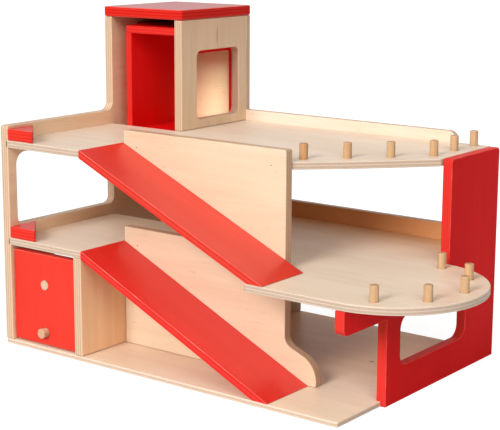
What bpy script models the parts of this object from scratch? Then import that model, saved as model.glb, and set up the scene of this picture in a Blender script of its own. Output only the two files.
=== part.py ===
"""Toy parking garage of birch plywood: three levels, two ramps, a lift in its tower, a garage door.

Garage coordinates, in metres: X runs along the length from the outer face of the left end panel,
Y from the front edge of the base to the back, and Z up from the surface that the garage stands on.
One empty carries every piece and moves that corner, so that the part's own origin lies on the
floor under the middle of the whole garage.
"""
import math

import bmesh
import bpy
from mathutils import Matrix, Vector

# Boards
PANEL_T = 0.012
DECK_T = 0.009
BASE_T = 0.006
BACK_T = 0.009
RAMP_T = 0.009
CAR_T = 0.009
DOOR_T = 0.012
ROOF_T = 0.013
BLOCK_T = 0.014
ARRIS = 0.0007
ROOF_ARRIS = 0.0015

# Overall plan
PANEL_SPAN = 0.508
DEPTH = 0.333
FRONT_BAY_WIDTH = 0.1315
SHAFT_FRONT = 0.1895

# Levels, as heights over the floor
MID_TOP = 0.137
UPPER_TOP = 0.259
ROOF_UNDER = 0.400

# Clearances
SEAT_GAP = 0.0003
LIFT_GAP = 0.0006
DOOR_SIDE_GAP = 0.0015
OVERRUN = 0.002
WELD = 0.00001

# Base
BASE_CORNER = 0.003

# Left end panel
LEFT_RAIL_RISE = 0.018
LEFT_RAIL_FILLET = 0.012
LEFT_RAIL_CORNER = 0.004
LEFT_POST_WIDTH = 0.0145
LEFT_WINDOW_HEIGHT = 0.090
LEFT_WINDOW_CORNER = 0.015
LEFT_WINDOW_SILL_CORNER = 0.009
LEFT_MID_SILL = 0.015
LEFT_BASE_SILL = 0.006
DADO_DEPTH = 0.004

# Right end panel
RIGHT_POST_FRONT = 0.218
RIGHT_FOOT_FRONT = 0.085
RIGHT_ARM_DROP = 0.028
RIGHT_ARM_CORNER = 0.009
RIGHT_TOP_CORNER = 0.005
RIGHT_WINDOW_FRONT = 0.1145
RIGHT_WINDOW_BACK = 0.261
RIGHT_WINDOW_SILL = 0.034
RIGHT_WINDOW_HEIGHT = 0.0565
RIGHT_WINDOW_CORNER = 0.014
RABBET_DEPTH = 0.006

# Centre guard
GUARD_FRONT = 0.0785
GUARD_END = 0.376
GUARD_UPPER_RISE = 0.015
GUARD_LOWER_RISE = 0.0175
GUARD_CORNER = 0.003
GUARD_COVER = 0.010
GUARD_MOUTH_FILLET = 0.004
FOOT_REACH = 0.044
FOOT_ROUND = 0.030
FOOT_FILLET = 0.014
FOOT_ROUND_LIFT = 0.006
FOOT_SLOPE = math.radians(22)

# Nails through the guard into the deck edges
NAIL_R = 0.0009
NAIL_REACH = 0.018
NAIL_END_DISTANCE = 0.021

# Ramps
UPPER_RAMP_TIP = 0.402
LOWER_RAMP_TIP = 0.410

# Decks
DECK_TIP_CORNER = 0.005
UPPER_EDGE_END = 0.2145
UPPER_EDGE_BOW = 0.003
MID_TONGUE_SLANT = 0.0013

# Back panel
BACK_RAIL_RISE = 0.0145
BACK_RAIL_STOP = 0.0435
BACK_RAIL_CORNER = 0.011
BACK_MID_RAIL_RISE = 0.021
BACK_POST_WIDTH = 0.020
BACK_MID_LEFT = 0.150
BACK_BASE_LEFT = 0.220
BACK_HEAD_DROP = 0.012
BACK_WINDOW_CORNER = 0.012

# Lift tower
TOWER_WINDOW_FRONT_MARGIN = 0.031
TOWER_WINDOW_BACK_MARGIN = 0.0165
TOWER_WINDOW_SILL = 0.012
TOWER_WINDOW_HEAD = 0.0402
TOWER_WINDOW_CORNER = 0.0085
ROOF_OVERHANG = 0.001
ROOF_CORNER = 0.003

# Lift car, drawn where it stands at the upper deck
CAR_LEFT = 0.037
CAR_FLOOR_DROP = 0.0043
CAR_HEADROOM = 0.0107
CAR_SIDE_SETBACK = 0.014
CAR_WINDOW_FRONT_MARGIN = 0.022
CAR_WINDOW_BACK_MARGIN = 0.0095
CAR_WINDOW_SILL = 0.004
CAR_WINDOW_HEAD = 0.026
CAR_WINDOW_CORNER = 0.007
RUNNER_SETBACK = 0.050
RUNNER_WIDTH = 0.030

# Garage door
DOOR_RECESS = 0.004
DOOR_BOTTOM_GAP = 0.0022
DOOR_TOP_GAP = 0.0056
DOOR_AXIS_DROP = 0.007
HINGE_PIN_R = 0.002
HINGE_PIN_REACH = 0.007

# Dowels
DOWEL_R = 0.005
DOWEL_CHAMFER = 0.0008
PEG_HEIGHT = 0.018
PEG_SOCKET_DEPTH = 0.006
DOOR_DOWEL_R = 0.006
KNOB_PROUD = 0.008
KNOB_HEIGHT = 0.0155
PLUG_DROP = 0.0385

# Rows of pegs
UPPER_PEG_INSET = 0.0185
UPPER_PEG_EDGE_INSET = 0.0195
UPPER_PEG_START_SHARE = 0.0941
UPPER_PEG_PITCH_SHARE = 0.2952
UPPER_PEG_EDGE_COUNT = 3
UPPER_PEG_SIDE_START = 0.0105
UPPER_PEG_SIDE_COUNT = 3
UPPER_PEG_BACK_INSET = 0.009
MID_PEG_INSET = 0.0205
MID_PEG_COUNT = 5
MID_PEG_FIRST = math.radians(-69)
MID_PEG_STEP = math.radians(37.3)

# Stop blocks
BLOCK_LEG = 0.044
BLOCK_CORNER = 0.0012

# Facets
ARC_STEP = math.radians(10)
BOW_STEPS = 8
ROUND_SIDES = 24
PIN_SIDES = 12
SHARP_ANGLE = math.radians(35)

# Finishes, as linear colours
BIRCH = (0.70, 0.48, 0.29)
PALE_BIRCH = (0.80, 0.60, 0.41)
DOWEL_BIRCH = (0.66, 0.41, 0.21)
RED_PAINT = (0.72, 0.035, 0.022)
NAIL_STEEL = (0.34, 0.31, 0.27)
WOOD_ROUGHNESS = 0.55
PAINT_ROUGHNESS = 0.32
STEEL_ROUGHNESS = 0.40

# Places that follow from the sizes above
PANEL_INNER_RIGHT = PANEL_SPAN - PANEL_T
BACK_RAIL_END = PANEL_INNER_RIGHT - BACK_RAIL_STOP
WALL_LEFT = FRONT_BAY_WIDTH - PANEL_T
GUARD_BACK = GUARD_FRONT + PANEL_T
BACK_FACE = DEPTH - BACK_T
MID_UNDER = MID_TOP - DECK_T
UPPER_UNDER = UPPER_TOP - DECK_T
BASE_SEAT = BASE_T + SEAT_GAP
MID_SEAT = MID_TOP + SEAT_GAP
UPPER_SEAT = UPPER_TOP + SEAT_GAP
WALL_TOP = ROOF_UNDER - SEAT_GAP
END_RADIUS = (RIGHT_POST_FRONT - SEAT_GAP) / 2
NOTCH_BACK = GUARD_BACK + SEAT_GAP
DECK_BACK = BACK_FACE - SEAT_GAP
DECK_RIGHT = PANEL_INNER_RIGHT - SEAT_GAP
LENGTH = DECK_RIGHT + END_RADIUS
DECK_LEFT = PANEL_T - DADO_DEPTH + SEAT_GAP
RAMP_WIDTH = GUARD_FRONT - SEAT_GAP
RAMP_START = FRONT_BAY_WIDTH + SEAT_GAP
GUARD_MOUTH_SILL = MID_TOP + GUARD_LOWER_RISE

CAR_RIGHT = WALL_LEFT - LIFT_GAP
CAR_FRONT = SHAFT_FRONT + LIFT_GAP
CAR_BACK = BACK_FACE - LIFT_GAP
CAR_FLOOR_TOP = UPPER_TOP - CAR_FLOOR_DROP
CAR_FLOOR_UNDER = CAR_FLOOR_TOP - CAR_T
CAR_CEILING = ROOF_UNDER - CAR_HEADROOM - CAR_T
CAR_WALL_LOW = CAR_FLOOR_TOP + SEAT_GAP
CAR_WALL_HIGH = CAR_CEILING - SEAT_GAP

DOOR_LEFT = PANEL_T + DOOR_SIDE_GAP
DOOR_RIGHT = WALL_LEFT - DOOR_SIDE_GAP
DOOR_MIDDLE = (DOOR_LEFT + DOOR_RIGHT) / 2
DOOR_BOTTOM = BASE_T + DOOR_BOTTOM_GAP
DOOR_TOP = MID_UNDER - DOOR_TOP_GAP
DOOR_AXIS_Y = DOOR_RECESS + DOOR_T / 2
DOOR_AXIS_Z = DOOR_TOP - DOOR_AXIS_DROP
FRONT_REACH = DOOR_RECESS - KNOB_PROUD
REAR_REACH = DEPTH + ROOF_OVERHANG

# How a drawing lies in the garage: its turn, and the garage axis across the board
PLAN = ((0, 0, 0), 2)
FRONT_VIEW = ((math.pi / 2, 0, 0), 1)
SIDE_VIEW = ((math.pi / 2, 0, math.pi / 2), 0)

# Turns that lay an upright rod along an axis
ROD_TURNS = {
    "X": Matrix.Rotation(math.pi / 2, 4, "Y"),
    "Y": Matrix.Rotation(-math.pi / 2, 4, "X"),
    "Z": Matrix.Identity(4),
}
ROD_AXES = {"X": Vector((1, 0, 0)), "Y": Vector((0, 1, 0)), "Z": Vector((0, 0, 1))}


def clear_scene():
    """Remove every object that the file holds."""
    for item in list(bpy.data.objects):
        bpy.data.objects.remove(item, do_unlink=True)


def new_collection(name):
    """A collection under the scene's own."""
    collection = bpy.data.collections.new(name)
    bpy.context.scene.collection.children.link(collection)
    return collection


def carrier(name, location, parent=None):
    """An empty that carries pieces: the garage as a whole, the lift car or the door."""
    empty = bpy.data.objects.new(name, None)
    empty.empty_display_size = PANEL_T
    empty.location = location
    empty.parent = parent
    PARTS.objects.link(empty)
    return empty


def finish(name, colour, roughness, metallic=0.0):
    """A Principled material in one colour."""
    material = bpy.data.materials.new(name + "_finish")
    material.use_nodes = True
    shader = material.node_tree.nodes["Principled BSDF"]
    shader.inputs["Base Color"].default_value = (*colour, 1.0)
    shader.inputs["Roughness"].default_value = roughness
    shader.inputs["Metallic"].default_value = metallic
    return material


def birch(name):
    """Bare plywood, as on the decks and panels."""
    return finish(name, BIRCH, WOOD_ROUGHNESS)


def pale_birch(name):
    """The lighter face plywood of the base, the decks and the guard."""
    return finish(name, PALE_BIRCH, WOOD_ROUGHNESS)


def dowel_birch(name):
    """Turned dowel rod."""
    return finish(name, DOWEL_BIRCH, WOOD_ROUGHNESS)


def red(name):
    """Red paint over plywood."""
    return finish(name, RED_PAINT, PAINT_ROUGHNESS)


def seat(piece, place, holder):
    """Put a piece at a place in garage coordinates, under the empty that carries it."""
    offset = holder.location if holder.parent else Vector((0, 0, 0))
    piece.parent = holder
    piece.location = Vector(place) - offset


def arc(centre, radius, start, end):
    """Points along an arc from one angle to another, both ends included."""
    steps = max(2, math.ceil(abs(end - start) / ARC_STEP))
    angles = [start + (end - start) * step / steps for step in range(steps + 1)]
    return [(centre[0] + radius * math.cos(a), centre[1] + radius * math.sin(a)) for a in angles]


def bowed(start, end, bow):
    """Points from start to end along a shallow arc that swells by bow to the right of the way."""
    start, end = Vector(start), Vector(end)
    along = end - start
    outward = Vector((along.y, -along.x)).normalized()
    shares = [step / BOW_STEPS for step in range(BOW_STEPS + 1)]
    return [tuple(start + along * s + outward * bow * 4 * s * (1 - s)) for s in shares]


def round_corners(corners):
    """An outline through corners (x, y) or (x, y, radius), the latter drawn as tangent arcs."""
    outline = []
    for index, corner in enumerate(corners):
        if len(corner) == 2:
            outline.append(corner)
            continue
        tip = Vector(corner[:2])
        back = Vector(corners[index - 1][:2]) - tip
        ahead = Vector(corners[(index + 1) % len(corners)][:2]) - tip
        half = back.angle(ahead) / 2
        reach = min(corner[2] / math.tan(half), back.length, ahead.length)
        radius = reach * math.tan(half)
        inward = (back.normalized() + ahead.normalized()).normalized()
        centre = tip + inward * radius / math.sin(half)
        spoke = tip + back.normalized() * reach - centre
        start = math.atan2(spoke.y, spoke.x)
        turn = math.pi - 2 * half
        if back.cross(ahead) > 0:
            turn = -turn
        outline += arc(centre, radius, start, start + turn)
    return outline


def rounded_window(left, low, right, high, corner, low_corner=None):
    """A rectangle with rounded corners, the lower two of a radius of their own if given."""
    below = corner if low_corner is None else low_corner
    return round_corners([
        (left, low, below), (right, low, below), (right, high, corner), (left, high, corner),
    ])


def board(name, rings, thickness, near_face, view, material, holder, arris=ARRIS):
    """A board from its outline and window rings, drawn in garage coordinates on its own plane.

    near_face is the garage coordinate of its lower, front or left face. The outline is a flat
    curve, filled on both sides, extruded to the thickness and eased by the arris at every edge.
    """
    drawing = bpy.data.curves.new(name + "_drawing", "CURVE")
    drawing.dimensions = "2D"
    drawing.fill_mode = "BOTH"
    drawing.extrude = thickness / 2 - arris
    drawing.bevel_depth = arris
    drawing.bevel_resolution = 0
    drawing.offset = -arris
    for ring in rings:
        spline = drawing.splines.new("POLY")
        spline.points.add(len(ring) - 1)
        spline.points.foreach_set("co", [v for x, y in ring for v in (x, y, 0, 1)])
        spline.use_cyclic_u = True
    turn, across = view
    guide = bpy.data.objects.new(name + "_guide", drawing)
    guide.rotation_euler = turn
    PARTS.objects.link(guide)
    place = [0, 0, 0]
    place[across] = near_face + thickness / 2
    seat(guide, place, holder)
    piece = solid_from_curve(name, guide)
    piece.data.materials.append(material)
    return piece


def solid_from_curve(name, guide):
    """Make the evaluated curve a closed mesh in the curve's place, and remove the curve."""
    bpy.context.view_layer.update()
    depsgraph = bpy.context.evaluated_depsgraph_get()
    mesh = bpy.data.meshes.new_from_object(guide.evaluated_get(depsgraph))
    mesh.name = name
    shape = bmesh.new()
    shape.from_mesh(mesh)
    bmesh.ops.remove_doubles(shape, verts=shape.verts, dist=WELD)
    bmesh.ops.recalc_face_normals(shape, faces=shape.faces)
    shape.to_mesh(mesh)
    shape.free()
    piece = bpy.data.objects.new(name, mesh)
    PARTS.objects.link(piece)
    holder = guide.parent
    piece.parent = holder
    piece.matrix_world = guide.matrix_world
    piece.data.shade_smooth()
    piece.data.set_sharp_from_angle(angle=SHARP_ANGLE)
    drawing = guide.data
    bpy.data.objects.remove(guide)
    bpy.data.curves.remove(drawing)
    return piece


def rods_mesh(name, radius, length, feet, axis, sides):
    """A mesh of round rods, one from each foot along the axis."""
    mesh = bpy.data.meshes.new(name)
    shape = bmesh.new()
    for foot in feet:
        middle = Vector(foot) + ROD_AXES[axis] * length / 2
        bmesh.ops.create_cone(
            shape, cap_ends=True, segments=sides, radius1=radius, radius2=radius,
            depth=length, matrix=Matrix.Translation(middle) @ ROD_TURNS[axis],
        )
    shape.to_mesh(mesh)
    shape.free()
    return mesh


def rod(name, radius, length, foot, axis, sides, material, holder, chamfer=0):
    """One round rod whose origin is its foot."""
    mesh = rods_mesh(name, radius, length, [(0, 0, 0)], axis, sides)
    mesh.materials.append(material)
    piece = bpy.data.objects.new(name, mesh)
    PARTS.objects.link(piece)
    seat(piece, foot, holder)
    ease_rims(piece, chamfer)
    return piece


def ease_rims(piece, chamfer):
    """Round the rims of a rod and shade its side smooth."""
    if chamfer > 0:
        bevel = piece.modifiers.new("Rims", "BEVEL")
        bevel.width = chamfer
        bevel.segments = 2
        bevel.limit_method = "ANGLE"
        bevel.angle_limit = math.radians(60)
    piece.data.shade_smooth()
    piece.data.set_sharp_from_angle(angle=SHARP_ANGLE)


def cutter(name, mesh, place, holder):
    """A shape that only cuts: drawn as wire and left out of renders."""
    tool = bpy.data.objects.new(name, mesh)
    tool.hide_render = True
    tool.display_type = "WIRE"
    CUTTERS.objects.link(tool)
    seat(tool, place, holder)
    return tool


def box_cutter(name, low, high, holder):
    """A box between two corners in garage coordinates."""
    low, high = Vector(low), Vector(high)
    mesh = bpy.data.meshes.new(name)
    shape = bmesh.new()
    bmesh.ops.create_cube(shape, size=1)
    bmesh.ops.scale(shape, vec=high - low, verts=shape.verts)
    shape.to_mesh(mesh)
    shape.free()
    return cutter(name, mesh, (low + high) / 2, holder)


def rod_cutter(name, radius, length, feet, axis, sides, holder):
    """Round holes from the feet along the axis, each wider than its rod by the seat gap."""
    origin = Vector(feet[0])
    offsets = [Vector(foot) - origin for foot in feet]
    mesh = rods_mesh(name, radius + SEAT_GAP, length, offsets, axis, sides)
    return cutter(name, mesh, origin, holder)


def cut(piece, tool):
    """Take a cutter's shape out of a piece."""
    hole = piece.modifiers.new(tool.name, "BOOLEAN")
    hole.operation = "DIFFERENCE"
    hole.solver = "EXACT"
    hole.object = tool


def make_base(garage):
    """The base board, its right edge let into the red end panel."""
    right = PANEL_SPAN - PANEL_T + RABBET_DEPTH - SEAT_GAP
    outline = round_corners([
        (0, 0, BASE_CORNER), (right, 0, BASE_CORNER),
        (right, DEPTH, BASE_CORNER), (0, DEPTH, BASE_CORNER),
    ])
    board("base_board", [outline], BASE_T, 0, PLAN, pale_birch("base_board"), garage)


def make_left_panel(garage):
    """The left end: a low rail in front, the lift tower's side behind, a window on two levels."""
    rail_top = UPPER_TOP + LEFT_RAIL_RISE
    outline = round_corners([
        (0, BASE_SEAT), (DEPTH, BASE_SEAT), (DEPTH, WALL_TOP), (SHAFT_FRONT, WALL_TOP),
        (SHAFT_FRONT, rail_top, LEFT_RAIL_FILLET), (0, rail_top, LEFT_RAIL_CORNER),
    ])
    windows = []
    for level, sill in ((BASE_T, LEFT_BASE_SILL), (MID_TOP, LEFT_MID_SILL)):
        windows.append(rounded_window(
            LEFT_POST_WIDTH, level + sill, SHAFT_FRONT, level + sill + LEFT_WINDOW_HEIGHT,
            LEFT_WINDOW_CORNER, LEFT_WINDOW_SILL_CORNER,
        ))
    panel = board("left_end_panel", [outline] + windows, PANEL_T, 0, SIDE_VIEW,
                  birch("left_end_panel"), garage)
    for level, under in (("mid", MID_UNDER), ("upper", UPPER_UNDER)):
        low = (PANEL_T - DADO_DEPTH, -OVERRUN, under - SEAT_GAP)
        high = (PANEL_T + OVERRUN, SHAFT_FRONT + SEAT_GAP, under + DECK_T + SEAT_GAP)
        cut(panel, box_cutter(level + "_deck_dado", low, high, garage))
    socket_foot = (PANEL_T - HINGE_PIN_REACH - SEAT_GAP, DOOR_AXIS_Y, DOOR_AXIS_Z)
    socket_length = HINGE_PIN_REACH + SEAT_GAP + OVERRUN
    cut(panel, rod_cutter("left_hinge_socket", HINGE_PIN_R, socket_length, [socket_foot], "X",
                          PIN_SIDES, garage))


def make_right_panel(garage):
    """The red right end: an arm under the round deck, a window, a post for the upper deck."""
    arm_top = MID_UNDER - SEAT_GAP
    arm_low = MID_UNDER - RIGHT_ARM_DROP
    outline = round_corners([
        (RIGHT_FOOT_FRONT, 0), (DEPTH, 0),
        (DEPTH, UPPER_TOP, RIGHT_TOP_CORNER), (RIGHT_POST_FRONT, UPPER_TOP, RIGHT_TOP_CORNER),
        (RIGHT_POST_FRONT, arm_top), (0, arm_top),
        (0, arm_low, RIGHT_ARM_CORNER), (RIGHT_FOOT_FRONT, arm_low),
    ])
    sill = BASE_T + RIGHT_WINDOW_SILL
    window = rounded_window(RIGHT_WINDOW_FRONT, sill, RIGHT_WINDOW_BACK,
                            sill + RIGHT_WINDOW_HEIGHT, RIGHT_WINDOW_CORNER)
    panel = board("right_end_panel", [outline, window], PANEL_T, PANEL_INNER_RIGHT, SIDE_VIEW,
                  red("right_end_panel"), garage)
    low = (PANEL_INNER_RIGHT - OVERRUN, -OVERRUN, -OVERRUN)
    high = (PANEL_INNER_RIGHT + RABBET_DEPTH, DEPTH + OVERRUN, BASE_SEAT)
    cut(panel, box_cutter("base_rabbet", low, high, garage))


def make_back_panel(garage):
    """The back: tall behind the lift, a rail along the upper deck, open on the lower levels."""
    left = PANEL_T + SEAT_GAP
    right = PANEL_INNER_RIGHT - SEAT_GAP
    opening_right = PANEL_INNER_RIGHT - BACK_POST_WIDTH
    rail_top = UPPER_TOP + BACK_RAIL_RISE
    tab_seat = UPPER_UNDER - SEAT_GAP
    head = MID_UNDER - BACK_HEAD_DROP
    outline = round_corners([
        (left, BASE_SEAT), (BACK_BASE_LEFT, BASE_SEAT),
        (BACK_BASE_LEFT, head, BACK_WINDOW_CORNER), (opening_right, head, BACK_WINDOW_CORNER),
        (opening_right, BASE_SEAT), (right, BASE_SEAT),
        (right, tab_seat), (BACK_RAIL_END, tab_seat),
        (BACK_RAIL_END, rail_top, BACK_RAIL_CORNER), (FRONT_BAY_WIDTH, rail_top),
        (FRONT_BAY_WIDTH, WALL_TOP), (left, WALL_TOP),
    ])
    window = rounded_window(BACK_MID_LEFT, MID_TOP + BACK_MID_RAIL_RISE, opening_right,
                            UPPER_UNDER - BACK_HEAD_DROP, BACK_WINDOW_CORNER)
    board("back_panel", [outline, window], BACK_T, BACK_FACE, FRONT_VIEW,
          birch("back_panel"), garage)


def front_bay(level_back):
    """Corners that both decks share: the front bay, and the notch that holds guard and ramps."""
    return [(DECK_LEFT, 0), (FRONT_BAY_WIDTH, 0), (FRONT_BAY_WIDTH, NOTCH_BACK), level_back]


def lift_shaft():
    """Corners that both decks share at the lift, going round to the left end panel."""
    return [(WALL_LEFT, DECK_BACK), (WALL_LEFT, SHAFT_FRONT), (DECK_LEFT, SHAFT_FRONT)]


def make_mid_deck(garage):
    """The middle deck, with its round end over the red panel's arm."""
    notch_right = GUARD_END + SEAT_GAP
    round_end = arc((DECK_RIGHT, END_RADIUS), END_RADIUS, -math.pi / 2, math.pi / 2)
    outline = round_corners(
        front_bay((notch_right, NOTCH_BACK))
        + [(notch_right - MID_TONGUE_SLANT, 0, DECK_TIP_CORNER)]
        + round_end
        + [(DECK_RIGHT, DECK_BACK)]
        + lift_shaft()
    )
    deck = board("mid_deck", [outline], DECK_T, MID_UNDER, PLAN, pale_birch("mid_deck"), garage)
    cut(deck, peg_sockets("mid_peg_sockets", mid_peg_places(), MID_TOP, garage))
    return deck


def upper_edge():
    """The two ends of the upper deck's slanting front edge, from the guard to the red post."""
    return (GUARD_END, NOTCH_BACK), (DECK_RIGHT, UPPER_EDGE_END)


def make_upper_deck(garage):
    """The upper deck, cut back along a slanting edge, with a tab over the back panel."""
    start, end = upper_edge()
    tab_left = BACK_RAIL_END + SEAT_GAP
    outline = round_corners(
        front_bay(start)[:-1]
        + bowed(start, end, UPPER_EDGE_BOW)
        + [(DECK_RIGHT, DEPTH), (tab_left, DEPTH), (tab_left, DECK_BACK)]
        + lift_shaft()
    )
    deck = board("upper_deck", [outline], DECK_T, UPPER_UNDER, PLAN, birch("upper_deck"), garage)
    cut(deck, peg_sockets("upper_peg_sockets", upper_peg_places(), UPPER_TOP, garage))
    return deck


def ramp_rise(top, tip_x, foot_z):
    """Slope of a ramp's top face, as height lost for each unit of length."""
    return (top - foot_z) / (tip_x - RAMP_START)


def foot_edge():
    """The guard's S-shaped end, from the base up to the upright edge."""
    low = (GUARD_END + FOOT_REACH - FOOT_ROUND, BASE_T + FOOT_ROUND_LIFT)
    bottom = -math.asin((low[1] - BASE_SEAT) / FOOT_ROUND)
    fall = math.pi / 2 - FOOT_SLOPE
    high_x = GUARD_END + FOOT_FILLET
    shift = (high_x - low[0]) * math.sin(FOOT_SLOPE)
    high_z = low[1] + (FOOT_ROUND + FOOT_FILLET - shift) / math.cos(FOOT_SLOPE)
    swell = arc(low, FOOT_ROUND, bottom, fall)
    return swell + arc((high_x, high_z), FOOT_FILLET, math.pi + fall, math.pi)


def make_guard(garage, decks):
    """The guard beside the ramps: one board from base to rail, with a wedge-shaped mouth."""
    left = FRONT_BAY_WIDTH + SEAT_GAP
    top = UPPER_TOP + GUARD_UPPER_RISE
    rise = ramp_rise(UPPER_TOP, UPPER_RAMP_TIP, MID_SEAT)
    ramp_drop = RAMP_T * math.hypot(1, rise)
    mouth_top = UPPER_TOP - ramp_drop - GUARD_COVER
    mouth_end = left + (mouth_top - GUARD_MOUTH_SILL) / rise
    outline = round_corners(
        [(left, BASE_SEAT)]
        + foot_edge()
        + [
            (GUARD_END, top, GUARD_CORNER), (left, top, GUARD_CORNER), (left, mouth_top),
            (mouth_end, GUARD_MOUTH_SILL, GUARD_MOUTH_FILLET), (left, GUARD_MOUTH_SILL),
        ]
    )
    guard = board("guard_board", [outline], PANEL_T, GUARD_FRONT, FRONT_VIEW,
                  pale_birch("guard_board"), garage)
    near, far = left + NAIL_END_DISTANCE, GUARD_END - NAIL_END_DISTANCE
    upper, mid = UPPER_TOP - DECK_T / 2, MID_TOP - DECK_T / 2
    heads = [(near, GUARD_FRONT, upper), (far, GUARD_FRONT, upper), (near, GUARD_FRONT, mid)]
    length = PANEL_T + NAIL_REACH
    for index, head in enumerate(heads, start=1):
        name = f"guard_nail_{index}"
        material = finish(name, NAIL_STEEL, STEEL_ROUGHNESS, 1.0)
        rod(name, NAIL_R, length, head, "Y", PIN_SIDES, material, garage)
    feet = [(x, y - OVERRUN, z) for x, y, z in heads]
    reach = length + OVERRUN + SEAT_GAP
    holes = rod_cutter("nail_holes", NAIL_R, reach, feet, "Y", PIN_SIDES, garage)
    for piece in (guard, *decks):
        cut(piece, holes)


def make_ramp(name, top, tip_x, foot_z, garage):
    """A ramp: its upper end butts against a deck, its foot is cut level on what it lands on."""
    rise = ramp_rise(top, tip_x, foot_z)
    drop = RAMP_T * math.hypot(1, rise)
    heel_x = RAMP_START + (top - drop - foot_z) / rise
    outline = [(RAMP_START, top - drop), (heel_x, foot_z), (tip_x, foot_z), (RAMP_START, top)]
    board(name, [outline], RAMP_WIDTH, 0, FRONT_VIEW, red(name), garage, arris=0)


def make_stop_block(name, deck_seat, garage):
    """A corner block that stops the cars where the front rail meets the left panel."""
    left = PANEL_T + SEAT_GAP
    outline = round_corners([
        (left, 0, BLOCK_CORNER), (left + BLOCK_LEG, 0, BLOCK_CORNER),
        (left, BLOCK_LEG, BLOCK_CORNER),
    ])
    board(name, [outline], BLOCK_T, deck_seat, PLAN, red(name), garage)


def upper_peg_places():
    """Pegs along the slanting edge, then beside the red post to the back."""
    start, end = (Vector(point) for point in upper_edge())
    edge = end - start
    inward = Vector((-edge.y, edge.x)).normalized()
    places = []
    for index in range(UPPER_PEG_EDGE_COUNT):
        share = UPPER_PEG_START_SHARE + index * UPPER_PEG_PITCH_SHARE
        places.append(tuple(start + edge * share + inward * UPPER_PEG_EDGE_INSET))
    first = RIGHT_POST_FRONT + UPPER_PEG_SIDE_START
    last = DEPTH - UPPER_PEG_BACK_INSET
    for index in range(UPPER_PEG_SIDE_COUNT):
        share = index / max(1, UPPER_PEG_SIDE_COUNT - 1)
        places.append((PANEL_INNER_RIGHT - UPPER_PEG_INSET, first + (last - first) * share))
    return places


def mid_peg_places():
    """Pegs at equal angles round the deck's round end."""
    radius = END_RADIUS - MID_PEG_INSET
    angles = [MID_PEG_FIRST + index * MID_PEG_STEP for index in range(MID_PEG_COUNT)]
    return [
        (DECK_RIGHT + radius * math.cos(angle), END_RADIUS + radius * math.sin(angle))
        for angle in angles
    ]


def peg_sockets(name, places, deck_top, garage):
    """Blind holes for the pegs of one deck."""
    foot_z = deck_top - PEG_SOCKET_DEPTH - SEAT_GAP
    feet = [(x, y, foot_z) for x, y in places]
    length = PEG_SOCKET_DEPTH + SEAT_GAP + OVERRUN
    return rod_cutter(name, DOWEL_R, length, feet, "Z", ROUND_SIDES, garage)


def make_pegs(level, places, deck_top, garage):
    """Dowel pegs that keep the cars from rolling off a deck."""
    for index, (x, y) in enumerate(places, start=1):
        name = f"{level}_peg_{index}"
        rod(name, DOWEL_R, PEG_SOCKET_DEPTH + PEG_HEIGHT, (x, y, deck_top - PEG_SOCKET_DEPTH),
            "Z", ROUND_SIDES, dowel_birch(name), garage, chamfer=DOWEL_CHAMFER)


def make_divider(garage):
    """The short wall between the garage and the space under the ramps."""
    outline = [
        (0, BASE_SEAT), (GUARD_BACK, BASE_SEAT),
        (GUARD_BACK, MID_UNDER - SEAT_GAP), (0, MID_UNDER - SEAT_GAP),
    ]
    divider = board("garage_divider", [outline], PANEL_T, WALL_LEFT, SIDE_VIEW,
                    birch("garage_divider"), garage)
    foot = (WALL_LEFT - OVERRUN, DOOR_AXIS_Y, DOOR_AXIS_Z)
    length = OVERRUN + HINGE_PIN_REACH + SEAT_GAP
    cut(divider, rod_cutter("right_hinge_socket", HINGE_PIN_R, length, [foot], "X",
                            PIN_SIDES, garage))


def make_tower(garage):
    """The tower's side wall on the upper deck, and the roof over the shaft."""
    back = BACK_FACE - SEAT_GAP
    outline = [
        (SHAFT_FRONT, UPPER_SEAT), (back, UPPER_SEAT), (back, WALL_TOP), (SHAFT_FRONT, WALL_TOP),
    ]
    sill = UPPER_TOP + TOWER_WINDOW_SILL
    window = rounded_window(SHAFT_FRONT + TOWER_WINDOW_FRONT_MARGIN, sill,
                            BACK_FACE - TOWER_WINDOW_BACK_MARGIN, WALL_TOP - TOWER_WINDOW_HEAD,
                            TOWER_WINDOW_CORNER)
    board("tower_side_panel", [outline, window], PANEL_T, WALL_LEFT, SIDE_VIEW,
          birch("tower_side_panel"), garage)
    roof_right, roof_front = FRONT_BAY_WIDTH + ROOF_OVERHANG, SHAFT_FRONT - ROOF_OVERHANG
    roof = round_corners([
        (-ROOF_OVERHANG, roof_front, ROOF_CORNER), (roof_right, roof_front, ROOF_CORNER),
        (roof_right, REAR_REACH, ROOF_CORNER), (-ROOF_OVERHANG, REAR_REACH, ROOF_CORNER),
    ])
    board("tower_roof", [roof], ROOF_T, ROOF_UNDER, PLAN, red("tower_roof"), garage,
          arris=ROOF_ARRIS)


def car_wall(front):
    """Outline of one of the car's side walls, from its front edge to the car's back."""
    return [(front, CAR_WALL_LOW), (CAR_BACK, CAR_WALL_LOW), (CAR_BACK, CAR_WALL_HIGH),
            (front, CAR_WALL_HIGH)]


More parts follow.
